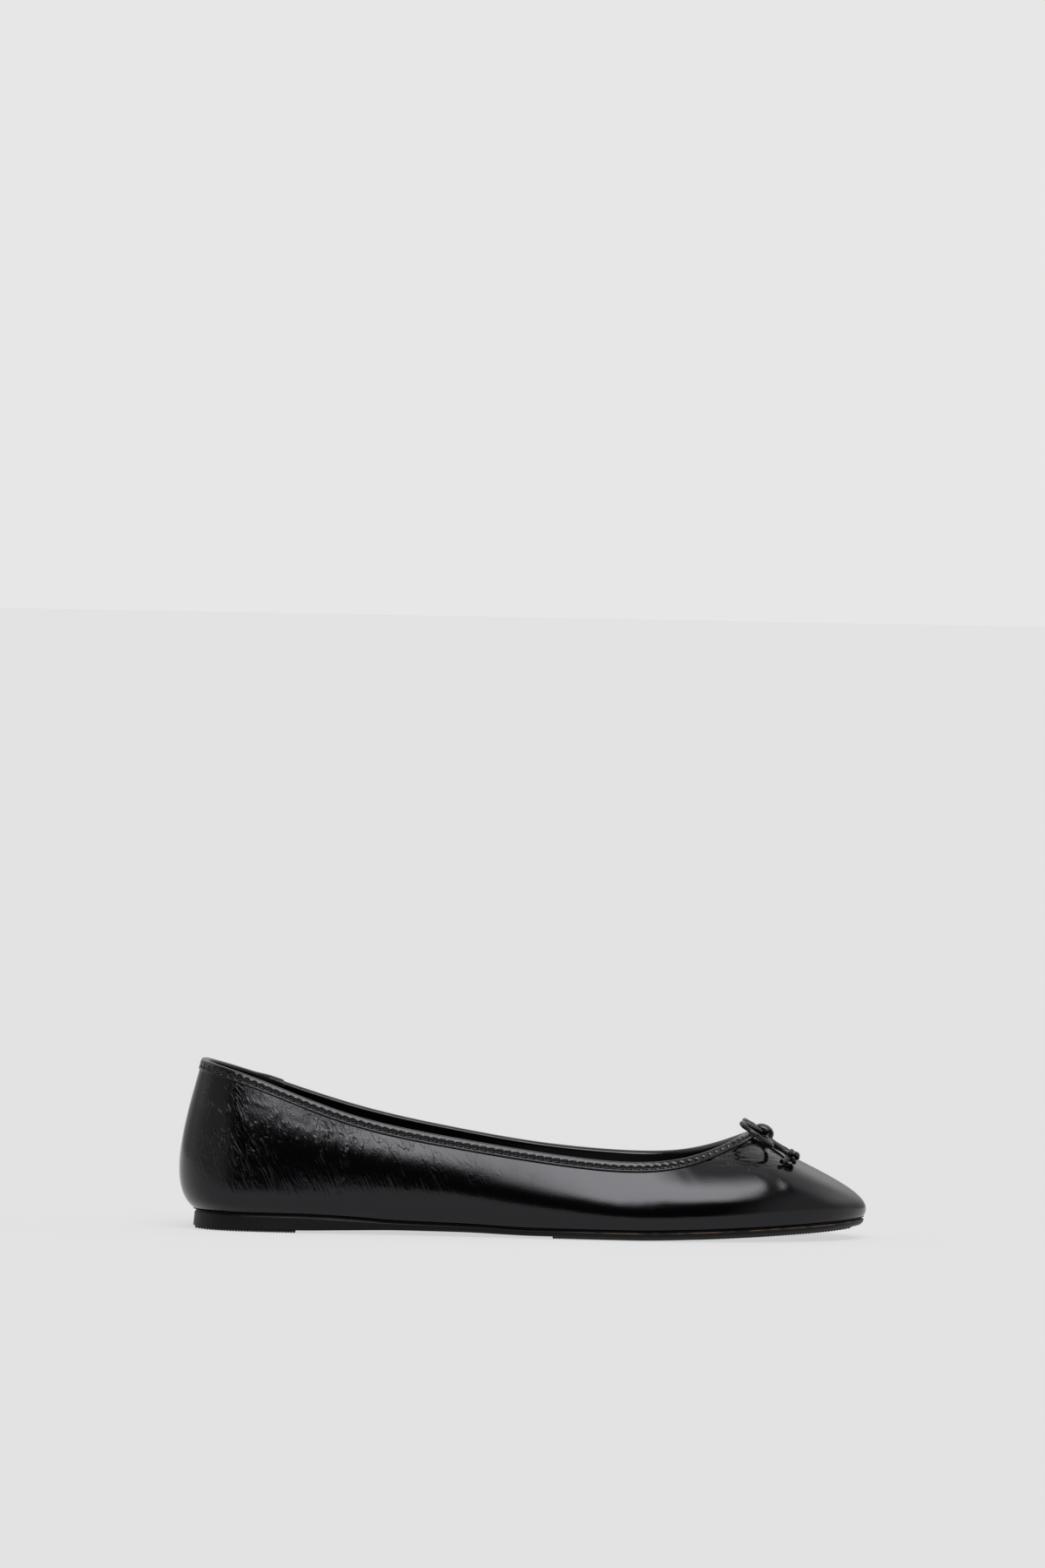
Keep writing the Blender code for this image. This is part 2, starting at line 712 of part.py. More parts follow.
def add_end_knot(name, hand):
    """The knot at a tail's end, with the short stub of cord beyond it."""
    centre = tail_point(END_KNOT_PLACE, hand)
    way = (
        STUB_WAY.forward * TAIL_FORWARD * FORWARD
        + STUB_WAY.side * TAIL_SIDE * hand * SIDE
        + STUB_WAY.lift * CORD_DIAMETER * OFF_VAMP
    )
    radius = END_KNOT_DIAMETER / 2
    cord = CORD_DIAMETER / 2
    neck = math.sqrt(radius**2 - cord**2)
    end = neck + STUB_LENGTH
    profile = [(-radius, 0.0)]
    for degrees in END_KNOT_TURNS:
        turn = math.radians(degrees)
        profile.append((radius * math.cos(turn), radius * math.sin(turn)))
    profile += [(neck, cord), (end, cord), (end, 0.0)]
    return add_turned(name, centre, way, profile)


def main():
    """Clears the scene and makes the shoe."""
    for obj in list(bpy.data.objects):
        bpy.data.objects.remove(obj)
    add_outsole()
    add_tread("heel_tread", 0, HEEL_TREAD_END, HEEL_TREAD_INSET)
    add_tread("forefoot_tread", TOE_RIB, FOREFOOT_TREAD_START, FOREFOOT_TREAD_INSET)
    add_insole()
    add_upper()
    add_binding()
    add_bow_knot()
    for side_name, hand in (("lateral", 1), ("medial", -1)):
        add_cord("bow_loop_" + side_name, loop_points(hand))
        add_cord("bow_tail_" + side_name, tail_points(hand))
        add_end_knot("bow_end_knot_" + side_name, hand)


main()
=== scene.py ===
"""Looks of a right-foot ballet flat: crinkled glossy leather, a bound topline and a cord bow.

Lengths are in metres. +X runs from the heel to the toe, -Y is the outer (lateral) side and +Z is up.
"""

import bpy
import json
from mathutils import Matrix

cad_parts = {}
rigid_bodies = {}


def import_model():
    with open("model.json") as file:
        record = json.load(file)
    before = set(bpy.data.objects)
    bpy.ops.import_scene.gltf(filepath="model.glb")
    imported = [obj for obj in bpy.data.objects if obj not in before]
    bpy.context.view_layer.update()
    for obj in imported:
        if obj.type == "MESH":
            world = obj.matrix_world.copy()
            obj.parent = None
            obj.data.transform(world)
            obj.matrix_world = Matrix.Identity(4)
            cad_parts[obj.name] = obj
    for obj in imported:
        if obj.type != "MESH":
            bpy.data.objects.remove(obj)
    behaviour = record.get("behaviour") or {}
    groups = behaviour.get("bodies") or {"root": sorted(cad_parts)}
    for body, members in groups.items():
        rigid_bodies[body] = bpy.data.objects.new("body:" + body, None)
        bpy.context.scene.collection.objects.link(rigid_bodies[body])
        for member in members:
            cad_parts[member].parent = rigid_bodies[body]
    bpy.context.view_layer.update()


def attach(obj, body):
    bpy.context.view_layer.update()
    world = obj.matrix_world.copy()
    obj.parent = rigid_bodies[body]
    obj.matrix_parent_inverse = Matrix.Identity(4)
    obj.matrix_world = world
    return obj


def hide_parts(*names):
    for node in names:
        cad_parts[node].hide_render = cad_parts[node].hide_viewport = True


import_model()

import json
import logging
import math
from collections.abc import Callable, Sequence
from dataclasses import dataclass, field
from enum import Enum
from typing import NamedTuple

import bmesh
import bpy
import numpy as np
from mathutils import Matrix, Vector
from mathutils.bvhtree import BVHTree

LOG = logging.getLogger("ballet_flat")

Points = np.ndarray
Colour = tuple[float, float, float]
Curve = Callable[[Points], Points]


class Hand(Enum):
    """A side of the shoe, as the sign of its sideways direction in the bow's frame."""

    LATERAL = 1
    MEDIAL = -1

    @property
    def word(self) -> str:
        """The side's name, as the pieces use it."""
        return self.name.lower()

    @property
    def other(self) -> "Hand":
        """The side across the shoe."""
        return Hand(-self.value)


class Slot(Enum):
    """The record's material slots."""

    LEATHER = "leather"
    BINDING = "binding"
    SOLE = "sole"
    TREAD = "tread"
    FOOTBED = "footbed"
    CORD = "cord"


# The shoe's tables. The last's and the sole's are the part's own.


class Rib(NamedTuple):
    """One rib of the last, from the sole's edge up to the finished topline.

    Along is a share of the shoe's length and across of its ball width, with - on the lateral side.
    The top's height, and the two handles that curve the rib, are shares of the back height.
    """

    foot_along: float
    foot_across: float
    top_along: float
    top_across: float
    top_height: float
    low_out: float
    low_up: float
    high_out: float
    high_down: float


RIBS = (
    Rib(0.022, 0.000, 0.032, 0.000, 1.000, 0.175, 0.130, 0.092, 0.340),
    Rib(0.050, -0.228, 0.046, -0.163, 0.982, 0.122, 0.095, 0.089, 0.325),
    Rib(0.128, -0.328, 0.120, -0.266, 0.890, 0.064, 0.080, 0.086, 0.290),
    Rib(0.260, -0.345, 0.248, -0.309, 0.706, 0.066, 0.100, 0.066, 0.210),
    Rib(0.400, -0.378, 0.388, -0.342, 0.589, 0.064, 0.132, 0.058, 0.178),
    Rib(0.532, -0.456, 0.520, -0.388, 0.511, 0.054, 0.128, 0.060, 0.146),
    Rib(0.652, -0.505, 0.640, -0.410, 0.464, 0.052, 0.113, 0.057, 0.129),
    Rib(0.770, -0.469, 0.724, -0.345, 0.482, 0.053, 0.170, 0.085, 0.125),
    Rib(0.884, -0.352, 0.778, -0.221, 0.544, 0.060, 0.195, 0.200, 0.135),
    Rib(0.960, -0.180, 0.808, -0.104, 0.598, 0.074, 0.160, 0.385, 0.200),
    Rib(0.995, 0.065, 0.819, 0.020, 0.618, 0.078, 0.124, 0.480, 0.243),
    Rib(0.971, 0.275, 0.812, 0.137, 0.599, 0.074, 0.160, 0.420, 0.213),
    Rib(0.900, 0.410, 0.784, 0.247, 0.548, 0.060, 0.195, 0.245, 0.145),
    Rib(0.788, 0.485, 0.732, 0.358, 0.492, 0.051, 0.170, 0.097, 0.125),
    Rib(0.672, 0.490, 0.652, 0.410, 0.476, 0.052, 0.121, 0.057, 0.129),
    Rib(0.548, 0.404, 0.528, 0.374, 0.515, 0.065, 0.125, 0.050, 0.146),
    Rib(0.412, 0.296, 0.396, 0.330, 0.600, 0.080, 0.150, 0.040, 0.178),
    Rib(0.272, 0.272, 0.256, 0.304, 0.722, 0.082, 0.140, 0.050, 0.210),
    Rib(0.132, 0.312, 0.120, 0.262, 0.893, 0.075, 0.152, 0.085, 0.290),
    Rib(0.050, 0.221, 0.046, 0.163, 0.984, 0.130, 0.130, 0.089, 0.325),
)
TOE_RIB = 10
TOPS = slice(2, 5)  # the columns of a rib's top
HANDLES = slice(5, 9)  # the columns of a rib's two handles


class SoleStation(NamedTuple):
    """The sole's height at one place along the shoe: shares of the length, toe spring and heel rise."""

    along: float
    lift: float
    rise: float


SOLE_STATIONS = (
    SoleStation(0.020, 0.00, 1.00),
    SoleStation(0.172, 0.00, 0.97),
    SoleStation(0.240, 0.08, 0.70),
    SoleStation(0.320, 0.17, 0.22),
    SoleStation(0.410, 0.15, 0.08),
    SoleStation(0.520, 0.00, 0.00),
    SoleStation(0.660, 0.00, 0.00),
    SoleStation(0.750, 0.13, 0.00),
    SoleStation(0.830, 0.34, 0.00),
    SoleStation(0.880, 0.52, 0.00),
    SoleStation(0.930, 0.71, 0.00),
    SoleStation(0.995, 1.00, 0.00),
)


class EdgeStep(NamedTuple):
    """One step down the sole's edge, and how far in it lies at the heel and at the forefoot, in shares."""

    drop: float
    heel: float
    fore: float


SOLE_EDGE = (
    EdgeStep(0.00, 0.00, 0.00),
    EdgeStep(0.03, 0.35, 0.50),
    EdgeStep(0.07, 0.62, 0.66),
    EdgeStep(0.12, 0.60, 0.68),
    EdgeStep(0.17, 0.36, 0.66),
    EdgeStep(0.24, 0.26, 0.50),
    EdgeStep(0.30, 0.24, 0.12),
    EdgeStep(0.34, 0.24, 0.04),
    EdgeStep(0.42, 0.21, 0.06),
    EdgeStep(0.66, 0.13, 0.20),
    EdgeStep(0.82, 0.08, 0.48),
    EdgeStep(0.94, 0.03, 0.80),
    EdgeStep(1.00, 0.02, 1.00),
)


class BowPoint(NamedTuple):
    """A point of the bow's cord, from the middle of the knot's foot on the vamp, in shares.

    Forward runs down the vamp to the toe, side out to the shoe's side, and lift off the leather.
    The loops are the part's own. The tails and end knots settle on the leather, which the part's
    plain tubes keep clear of.
    """

    forward: float
    side: float
    lift: float


LOOP_ROUTE = (
    BowPoint(-0.10, 0.180, 1.02),
    BowPoint(-0.32, 0.360, 1.10),
    BowPoint(-0.56, 0.600, 1.14),
    BowPoint(-0.59, 0.820, 1.04),
    BowPoint(-0.32, 0.985, 0.88),
    BowPoint(0.08, 0.970, 0.66),
    BowPoint(0.34, 0.780, 0.44),
    BowPoint(0.31, 0.500, 0.44),
    BowPoint(0.19, 0.310, 0.60),
    BowPoint(0.12, 0.180, 0.78),
)
TAIL_ROUTE = (
    BowPoint(0.29, 0.100, 0.85),
    BowPoint(0.54, 0.220, 0.72),
    BowPoint(0.78, 0.400, 0.72),
    BowPoint(0.91, 0.600, 0.95),
)
END_KNOT_PLACE = BowPoint(1.00, 0.82, 1.45)
STUB_WAY = BowPoint(-0.20, 0.33, -1.90)


class Crease(NamedTuple):
    """One fold of the leather: a soft trough with a raised lip on either side.

    Around and up place its middle on the last, for the lateral side. Lean is how far its upper end
    tips to the toe, in degrees, bow is its sideways curve in shares of its reach, and the rest are
    millimetres: half its length, half the trough's width, and its depth.
    """

    around: float
    up: float
    lean: float
    bow: float
    reach: float
    width: float
    depth: float


# Folds that fan out of the throat beside the bow, over both sides of the vamp
THROAT_CREASES = (
    Crease(7.55, 0.880, 99, 0.10, 9.0, 0.60, 0.128),
    Crease(7.90, 0.860, 101, -0.08, 10.5, 0.56, 0.180),
    Crease(8.05, 0.760, 103, 0.06, 9.0, 0.64, 0.143),
    Crease(8.35, 0.890, 98, 0.08, 8.5, 0.48, 0.195),
    Crease(8.50, 0.800, 104, -0.10, 9.5, 0.60, 0.188),
    Crease(8.60, 0.700, 106, 0.05, 8.0, 0.68, 0.120),
    Crease(8.80, 0.880, 100, 0.06, 7.0, 0.48, 0.195),
    Crease(8.95, 0.790, 108, -0.06, 8.0, 0.56, 0.180),
    Crease(9.15, 0.720, 112, 0.08, 7.5, 0.64, 0.135),
    Crease(9.30, 0.860, 104, -0.05, 5.0, 0.48, 0.165),
    Crease(9.45, 0.760, 118, 0.06, 6.5, 0.56, 0.128),
    Crease(8.20, 0.660, 108, -0.10, 7.0, 0.72, 0.090),
)

# Fine crinkles over the quarter, nearly upright and leaning either way
QUARTER_CREASES = (
    Crease(1.15, 0.800, 8, 0.20, 3.2, 0.59, 0.015),
    Crease(1.35, 0.700, -12, -0.20, 4.2, 0.62, 0.018),
    Crease(1.55, 0.840, 22, 0.10, 3.0, 0.55, 0.017),
    Crease(1.62, 0.640, 4, 0.25, 4.8, 0.66, 0.019),
    Crease(1.85, 0.760, -18, -0.15, 5.2, 0.62, 0.022),
    Crease(2.05, 0.600, 14, 0.20, 5.8, 0.70, 0.023),
    Crease(2.15, 0.820, 30, -0.10, 3.8, 0.59, 0.019),
    Crease(2.30, 0.680, -24, 0.15, 6.0, 0.70, 0.024),
    Crease(2.45, 0.540, -6, -0.25, 5.2, 0.73, 0.021),
    Crease(2.55, 0.800, 18, 0.10, 4.5, 0.62, 0.022),
    Crease(2.70, 0.660, -32, 0.20, 6.5, 0.70, 0.025),
    Crease(2.85, 0.500, 24, -0.20, 5.5, 0.73, 0.021),
    Crease(2.95, 0.780, -14, 0.15, 5.2, 0.66, 0.024),
    Crease(3.10, 0.620, 36, -0.10, 7.0, 0.73, 0.027),
    Crease(3.25, 0.460, -28, 0.20, 5.8, 0.77, 0.022),
    Crease(3.35, 0.740, 28, 0.10, 5.8, 0.70, 0.025),
    Crease(3.50, 0.580, -38, -0.15, 6.8, 0.73, 0.025),
    Crease(3.65, 0.820, 42, 0.10, 4.0, 0.66, 0.021),
    Crease(3.75, 0.680, -22, 0.20, 5.5, 0.73, 0.022),
    Crease(3.90, 0.520, 44, -0.15, 6.2, 0.81, 0.021),
    Crease(4.10, 0.740, -44, 0.10, 4.8, 0.73, 0.017),
    Crease(4.30, 0.600, 50, 0.15, 5.2, 0.85, 0.015),
    Crease(4.60, 0.800, 58, -0.10, 3.8, 0.87, 0.010),
    Crease(4.90, 0.680, -56, 0.10, 4.2, 0.96, 0.009),
)

# Long shallow folds and swells: low on the quarter, under the topline, at the ball, across the vamp
# and down its side from the bow
LONG_FOLDS = (
    Crease(1.95, 0.160, 90, 0.00, 44.0, 6.0, -0.340),
    Crease(1.20, 0.160, 90, 0.00, 16.0, 6.0, -0.180),
    Crease(3.05, 0.930, 90, 0.00, 56.0, 8.0, 0.400),
    Crease(6.10, 0.560, 90, 0.00, 48.0, 8.0, -0.350),
    Crease(1.88, 0.842, 90, 0.04, 11.0, 1.0, -0.045),
    Crease(1.25, 0.900, 84, 0.04, 7.0, 1.7, 0.050),
    Crease(2.45, 0.800, 97, -0.04, 8.0, 1.3, 0.025),
    Crease(5.70, 0.780, 12, 0.10, 6.0, 2.4, 0.060),
    Crease(6.35, 0.760, -8, -0.08, 6.5, 2.6, 0.060),
    Crease(7.00, 0.740, 6, 0.08, 6.5, 2.4, 0.060),
    Crease(8.33, 0.520, 30, 0.05, 13.0, 3.0, 0.200),
)

# Short puckers at the middle of the throat, under the bow and just before it
VAMP_CREASES = (
    Crease(9.75, 0.700, 96, 0.06, 6.0, 0.7, 0.090),
    Crease(9.85, 0.600, 102, -0.08, 5.0, 0.8, 0.070),
    Crease(10.15, 0.690, 86, 0.06, 6.0, 0.7, 0.090),
    Crease(10.05, 0.560, 78, 0.08, 5.0, 0.8, 0.060),
    Crease(10.40, 0.640, 74, -0.06, 5.0, 0.7, 0.070),
)


# Curves through tables


def unit(vectors: Points) -> Points:
    """The vectors at length one."""
    return vectors / np.linalg.norm(vectors, axis=-1, keepdims=True)


def smooth_step(values: Points, low: float, high: float) -> Points:
    """0 below low, 1 above high, and a soft rise between them."""
    share = np.clip((values - low) / (high - low), 0.0, 1.0)
    return share * share * (3 - 2 * share)


def hermite(part: Points, low: Points, high: Points, low_slope: Points, high_slope: Points) -> Points:
    """The cubic between two values.

    Args:
        part: The share of the way from the first value to the second.
        low: The first value.
        high: The second value.
        low_slope: The slope at the first value, per step.
        high_slope: The slope at the second value, per step.

    Returns:
        The value there.
    """
    return (
        (2 * part**3 - 3 * part**2 + 1) * low
        + (part**3 - 2 * part**2 + part) * low_slope
        + (3 * part**2 - 2 * part**3) * high
        + (part**3 - part**2) * high_slope
    )


def closed_spline(rows: Sequence[Sequence[float]]) -> Curve:
    """A smooth closed curve through rows of values.

    Args:
        rows: The values, one row at each whole number.

    Returns:
        A function from places to rows.
    """
    values = np.array(rows, float)
    count = len(values)
    links = np.eye(count)
    weights = 4 * links + np.roll(links, 1, axis=0) + np.roll(links, -1, axis=0)
    slopes = np.linalg.solve(weights, 3 * (np.roll(values, -1, axis=0) - np.roll(values, 1, axis=0)))

    def at(where: Points) -> Points:
        """The row at each place.

        Args:
            where: The places along the loop.

        Returns:
            One row for each place.
        """
        start = np.floor(where).astype(int)
        low, high = start % count, (start + 1) % count
        part = (where - start)[..., None]
        return hermite(part, values[low], values[high], slopes[low], slopes[high])

    return at


def level_spline(places: Sequence[float], values: Sequence[float]) -> Curve:
    """A curve through a table that never overshoots, so that level stretches stay level.

    Args:
        places: The rising places.
        values: The value at each.

    Returns:
        A function from places to values.
    """
    x, y = np.array(places, float), np.array(values, float)
    step = np.diff(x)
    rise = np.diff(y) / step
    same_way = rise[:-1] * rise[1:] > 0
    total = np.where(same_way, rise[:-1] + rise[1:], 1.0)
    middle = np.where(same_way, 2 * rise[:-1] * rise[1:] / total, 0.0)
    slopes = np.concatenate([rise[:1], middle, rise[-1:]])

    def at(where: Points) -> Points:
        """The value at each place.

        Args:
            where: The places along the table.

        Returns:
            One value for each place.
        """
        where = np.clip(where, x[0], x[-1])
        k = np.clip(np.searchsorted(x, where, side="right") - 1, 0, len(x) - 2)
        part = (where - x[k]) / step[k]
        return hermite(part, y[k], y[k + 1], slopes[k] * step[k], slopes[k + 1] * step[k])

    return at


def smooth_route(points: Sequence[Points], step: float) -> Points:
    """Points at about this spacing along a smooth curve through the route's own points.

    Args:
        points: The route's own points.
        step: The spacing wanted.

    Returns:
        The finer route.
    """
    places = np.array(points)
    ways = np.gradient(places, axis=0)
    made = [places[0]]
    for k in range(len(places) - 1):
        pieces = max(1, round(float(np.linalg.norm(places[k + 1] - places[k])) / step))
        for part in np.arange(1, pieces + 1) / pieces:
            made.append(hermite(part, places[k], places[k + 1], ways[k], ways[k + 1]))
    return np.array(made)


# The last


@dataclass(frozen=True)
class Last:
    """The shoe's curved form, from the sole's edge up to the finished topline."""

    length: float = 0.2505
    ball_width: float = 0.0768
    back_height: float = 0.0618
    upper_wall: float = 0.0018
    clearance: float = 0.0003
    sole_thickness: float = 0.0028
    heel_rise: float = 0.0032
    toe_spring: float = 0.0042
    tread_thickness: float = 0.0007
    foot_fade: float = 0.15
    solid_ribs: int = 84
    rib_at: Curve = field(default=closed_spline(RIBS), repr=False)
    lift_at: Curve = field(
        default=level_spline([s.along for s in SOLE_STATIONS], [s.lift for s in SOLE_STATIONS]), repr=False
    )
    rise_at: Curve = field(
        default=level_spline([s.along for s in SOLE_STATIONS], [s.rise for s in SOLE_STATIONS]), repr=False
    )

    def tread_bottom(self, x: Points) -> Points:
        """The height of the treads' undersides."""
        return self.toe_spring * self.lift_at(x / self.length)

    def sole_bottom(self, x: Points) -> Points:
        """The height of the outsole's underside."""
        return self.tread_bottom(x) + self.tread_thickness + self.clearance

    def heel_share(self, x: Points) -> Points:
        """How much of the heel's rise the sole has here, from 0 to 1."""
        return self.rise_at(x / self.length)

    def sole_top(self, x: Points) -> Points:
        """The height of the outsole's upper face."""
        return self.sole_bottom(x) + self.sole_thickness + self.heel_rise * self.heel_share(x)

    def outline(self, around: Points) -> Points:
        """The sole's edge in plan."""
        row = self.rib_at(around)
        return np.stack([row[..., 0] * self.length, row[..., 1] * self.ball_width], axis=-1)

    def outward(self, around: Points) -> Points:
        """The level direction square to the sole's edge, away from the shoe."""
        run = self.outline(around + 0.001) - self.outline(around - 0.001)
        return unit(np.stack([run[..., 1], -run[..., 0], np.zeros_like(run[..., 0])], axis=-1))

    def surface(self, around: Points, up: Points) -> Points:
        """Points of the upper's outside.

        Args:
            around: The place around the shoe, in ribs from the heel by way of the lateral side.
            up: The share of the way from the sole's edge, 0, to the finished topline, 1.

        Returns:
            The points, from the heel's own corner.
        """
        around, up = np.broadcast_arrays(np.asarray(around, float), np.asarray(up, float))
        row = self.rib_at(around)
        plan = self.outline(around)
        out = self.outward(around)
        above = np.array([0.0, 0.0, 1.0])
        foot_height = self.sole_top(plan[..., 0]) + self.clearance
        foot = np.concatenate([plan, foot_height[..., None]], axis=-1)
        top = row[..., TOPS] * np.array([self.length, self.ball_width, self.back_height])
        handles = row[..., HANDLES] * self.back_height
        low = foot + handles[..., 0:1] * out + handles[..., 1:2] * above
        high = top + handles[..., 2:3] * out - handles[..., 3:4] * above
        t = up[..., None]
        return (1 - t) ** 3 * foot + 3 * t * (1 - t) ** 2 * low + 3 * t**2 * (1 - t) * high + t**3 * top

    def normal(self, around: Points, up: Points) -> Points:
        """The surface's outward direction.

        Args:
            around: The place around the shoe, in ribs.
            up: The share of the way up the last.

        Returns:
            The unit directions.
        """
        step = 0.001
        across = self.surface(around + step, up) - self.surface(around - step, up)
        along = self.surface(around, up + step) - self.surface(around, up - step)
        return unit(np.cross(across, along))

    def offset(self, around: Points, up: Points, out: Points | float) -> Points:
        """Points off the surface, with the way out turned level at the foot.

        Args:
            around: The place around the shoe.
            up: The share of the way up.
            out: How far off the surface, outwards.

        Returns:
            The points, from the heel's own corner.
        """
        around, up = np.broadcast_arrays(np.asarray(around, float), np.asarray(up, float))
        way = self.normal(around, up)
        fade = smooth_step(up, 0.0, self.foot_fade)
        way[..., 2] *= fade
        return self.surface(around, up) + np.asarray(out)[..., None] * unit(way)

    def up_below_edge(self, around: Points, distance: float, fine: int = 81) -> Points:
        """How far up each rib this distance below the finished topline lies, along the leather.

        Args:
            around: The place around the shoe, in ribs.
            distance: How far below the topline, in metres.
            fine: How many points measure a rib.

        Returns:
            The share of the way up, for each rib.
        """
        ups = np.linspace(0, 1, fine)
        points = self.surface(around[:, None], ups[None, :])
        runs = np.linalg.norm(np.diff(points, axis=1), axis=2)
        below = np.cumsum(runs[:, ::-1], axis=1)[:, ::-1]
        below = np.concatenate([below, np.zeros((len(around), 1))], axis=1)
        return np.array([np.interp(-distance, -row, ups) for row in below])

    def up_at_rise(self, around: Points, rise: float, fine: int = 81) -> Points:
        """How far up the inner wall lies this height above the wall's foot."""
        ups = np.linspace(0, 0.5, fine)
        heights = self.offset(around[:, None], ups[None, :], -self.upper_wall)[..., 2]
        return np.array([np.interp(rise, row - row[0], ups) for row in heights])

    def middle(self) -> Points:
        """The middle of the upper's box in plan, which is the frame's origin.

        Returns:
            The middle, from the heel's own corner.
        """
        around = self.around(self.solid_ribs)
        shell = self.surface(around[:, None], np.linspace(0, 1, 41)[None, :]).reshape(-1, 3)
        middle = (shell.min(axis=0) + shell.max(axis=0)) / 2
        return np.array([middle[0], middle[1], 0.0])

    def around(self, count: int) -> Points:
        """This many places around the shoe, evenly spread over the ribs."""
        return np.arange(count) * len(RIBS) / count

    def place_at(self, x: float, far_rib: float, fine: int = 401) -> float:
        """The place on one side, between heel and toe, where the sole's edge is this far along."""
        places = np.linspace(far_rib, TOE_RIB, fine)
        return float(np.interp(x, self.outline(places)[:, 0], places))


LAST = Last()
MIDDLE = LAST.middle()


# Meshes


Faces = list[tuple[int, ...]]


def band(first: int, second: int, count: int, closed: bool = True) -> Faces:
    """The quads between two rows of points.

    Args:
        first: The index where the first row starts.
        second: The index where the second row starts.
        count: How many points each row has.
        closed: Whether the rows run round to their own start.

    Returns:
        The faces.
    """
    last = count if closed else count - 1
    return [
        (first + i, first + (i + 1) % count, second + (i + 1) % count, second + i) for i in range(last)
    ]


@dataclass
class Shape:
    """Points and faces on their way to one mesh, with what its material reads."""

    points: Points
    faces: Faces
    marks: dict[str, Points] = field(default_factory=dict)
    materials: Sequence[bpy.types.Material] = ()
    face_slots: Sequence[int] | None = None
    sharp_degrees: float = 40.0

    def mesh(self, name: str) -> bpy.types.Mesh:
        """A mesh with outward faces, its material and its named values.

        Args:
            name: The mesh's name.

        Returns:
            The mesh.
        """
        mesh = bpy.data.meshes.new(name)
        mesh.from_pydata(self.points.tolist(), [], self.faces)
        for mark, values in self.marks.items():
            attribute = mesh.attributes.new(mark, "FLOAT", "POINT")
            attribute.data.foreach_set("value", np.asarray(values, np.float32).ravel())
        for material in self.materials:
            mesh.materials.append(material)
        if self.face_slots is not None:
            mesh.polygons.foreach_set("material_index", np.asarray(self.face_slots, np.int32))
        outward = bmesh.new()
        outward.from_mesh(mesh)
        bmesh.ops.recalc_face_normals(outward, faces=outward.faces)
        outward.to_mesh(mesh)
        outward.free()
        mesh.shade_smooth()
        mesh.set_sharp_from_angle(angle=math.radians(self.sharp_degrees))
        return mesh

    def piece(self, name: str) -> bpy.types.Object:
        """The mesh as an object at the origin."""
        obj = bpy.data.objects.new(name, self.mesh(name))
        bpy.context.scene.collection.objects.link(obj)
        return obj


def hand_in(piece: bpy.types.Object, slot: Slot, *nodes: str) -> bpy.types.Object:
    """Gives a finished piece its body, and hides the nodes that it stands for.

    Args:
        piece: The finished piece.
        slot: The record's material slot, which is not used.
        nodes: The names of the nodes that it replaces.

    Returns:
        The same piece.
    """
    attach(piece, "root")
    if nodes:
        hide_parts(*nodes)
    LOG.info("%s: %d faces, for %s", piece.name, len(piece.data.polygons), ", ".join(nodes) or "detail")
    return piece


def ring_sweep(rings: Sequence[Points]) -> Shape:
    """A closed band round the shoe, from the rings of points that make its section.

    Args:
        rings: The section's rings in order, each round the shoe.

    Returns:
        The band.
    """
    count = len(rings[0])
    faces: Faces = []
    for k in range(len(rings)):
        faces += band(k * count, (k + 1) % len(rings) * count, count)
    return Shape(np.concatenate(rings) - MIDDLE, faces)


def spine_of(ring: Points, draw: float = 0.18) -> Points:
    """The line that a flat fill closes on, down a ring's middle.

    Args:
        ring: The ring, even in count, that starts at the heel's middle.
        draw: How far its ends draw in to the middle, as a share.

    Returns:
        A point for each pair of the ring's points.
    """
    count = len(ring)
    pairs = [(ring[i] + ring[-i % count]) / 2 for i in range(count // 2 + 1)]
    middle = sum(pairs) / len(pairs)
    return np.array([p + (middle - p) * np.array([draw, 0.0, 0.0]) for p in pairs])


def slab(
    edge_rings: Sequence[Points], bottom_at: Callable, top_at: Callable, shares: Sequence[float]
) -> Shape:
    """A slab in the sole's outline.

    Args:
        edge_rings: The rings of its edge, from the top down.
        bottom_at: The height of its lower face, from the points' plan.
        top_at: The height of its upper face, from the points' plan.
        shares: Where the rings of its filled faces lie, on the way from the edge to the middle.

    Returns:
        The closed shape.
    """

    def fill(ring: Points, height_at: Callable) -> tuple[list[Points], Points]:
        """Rings from an edge in to its spine.

        Args:
            ring: The edge's points.
            height_at: The height of the face, from the points.

        Returns:
            The rings inside the edge, and the spine's points.
        """
        count = len(ring)
        spine = spine_of(ring)
        partner = np.array([spine[min(i, count - i)] for i in range(count)])
        rings = []
        for share in shares:
            inner = ring + (partner - ring) * share
            inner[:, 2] = height_at(inner)
            rings.append(inner)
        spine[:, 2] = height_at(spine)
        return rings, spine

    count = len(edge_rings[0])
    top_rings, top_spine = fill(edge_rings[0], top_at)
    bottom_rings, bottom_spine = fill(edge_rings[-1], bottom_at)
    rings = top_rings[::-1] + list(edge_rings) + bottom_rings
    faces: Faces = []
    for k in range(len(rings) - 1):
        faces += band(k * count, (k + 1) * count, count)
    top_start = len(rings) * count
    bottom_start = top_start + len(top_spine)
    last = (len(rings) - 1) * count
    for i in range(count):
        j = (i + 1) % count
        near, far = min(i, count - i), min(j, count - j) if j else 0
        top = (j, i, top_start + near, top_start + far)
        bottom = (last + i, last + j, bottom_start + far, bottom_start + near)
        faces += [tuple(dict.fromkeys(top)), tuple(dict.fromkeys(bottom))]
    return Shape(np.concatenate([*rings, top_spine, bottom_spine]) - MIDDLE, faces)


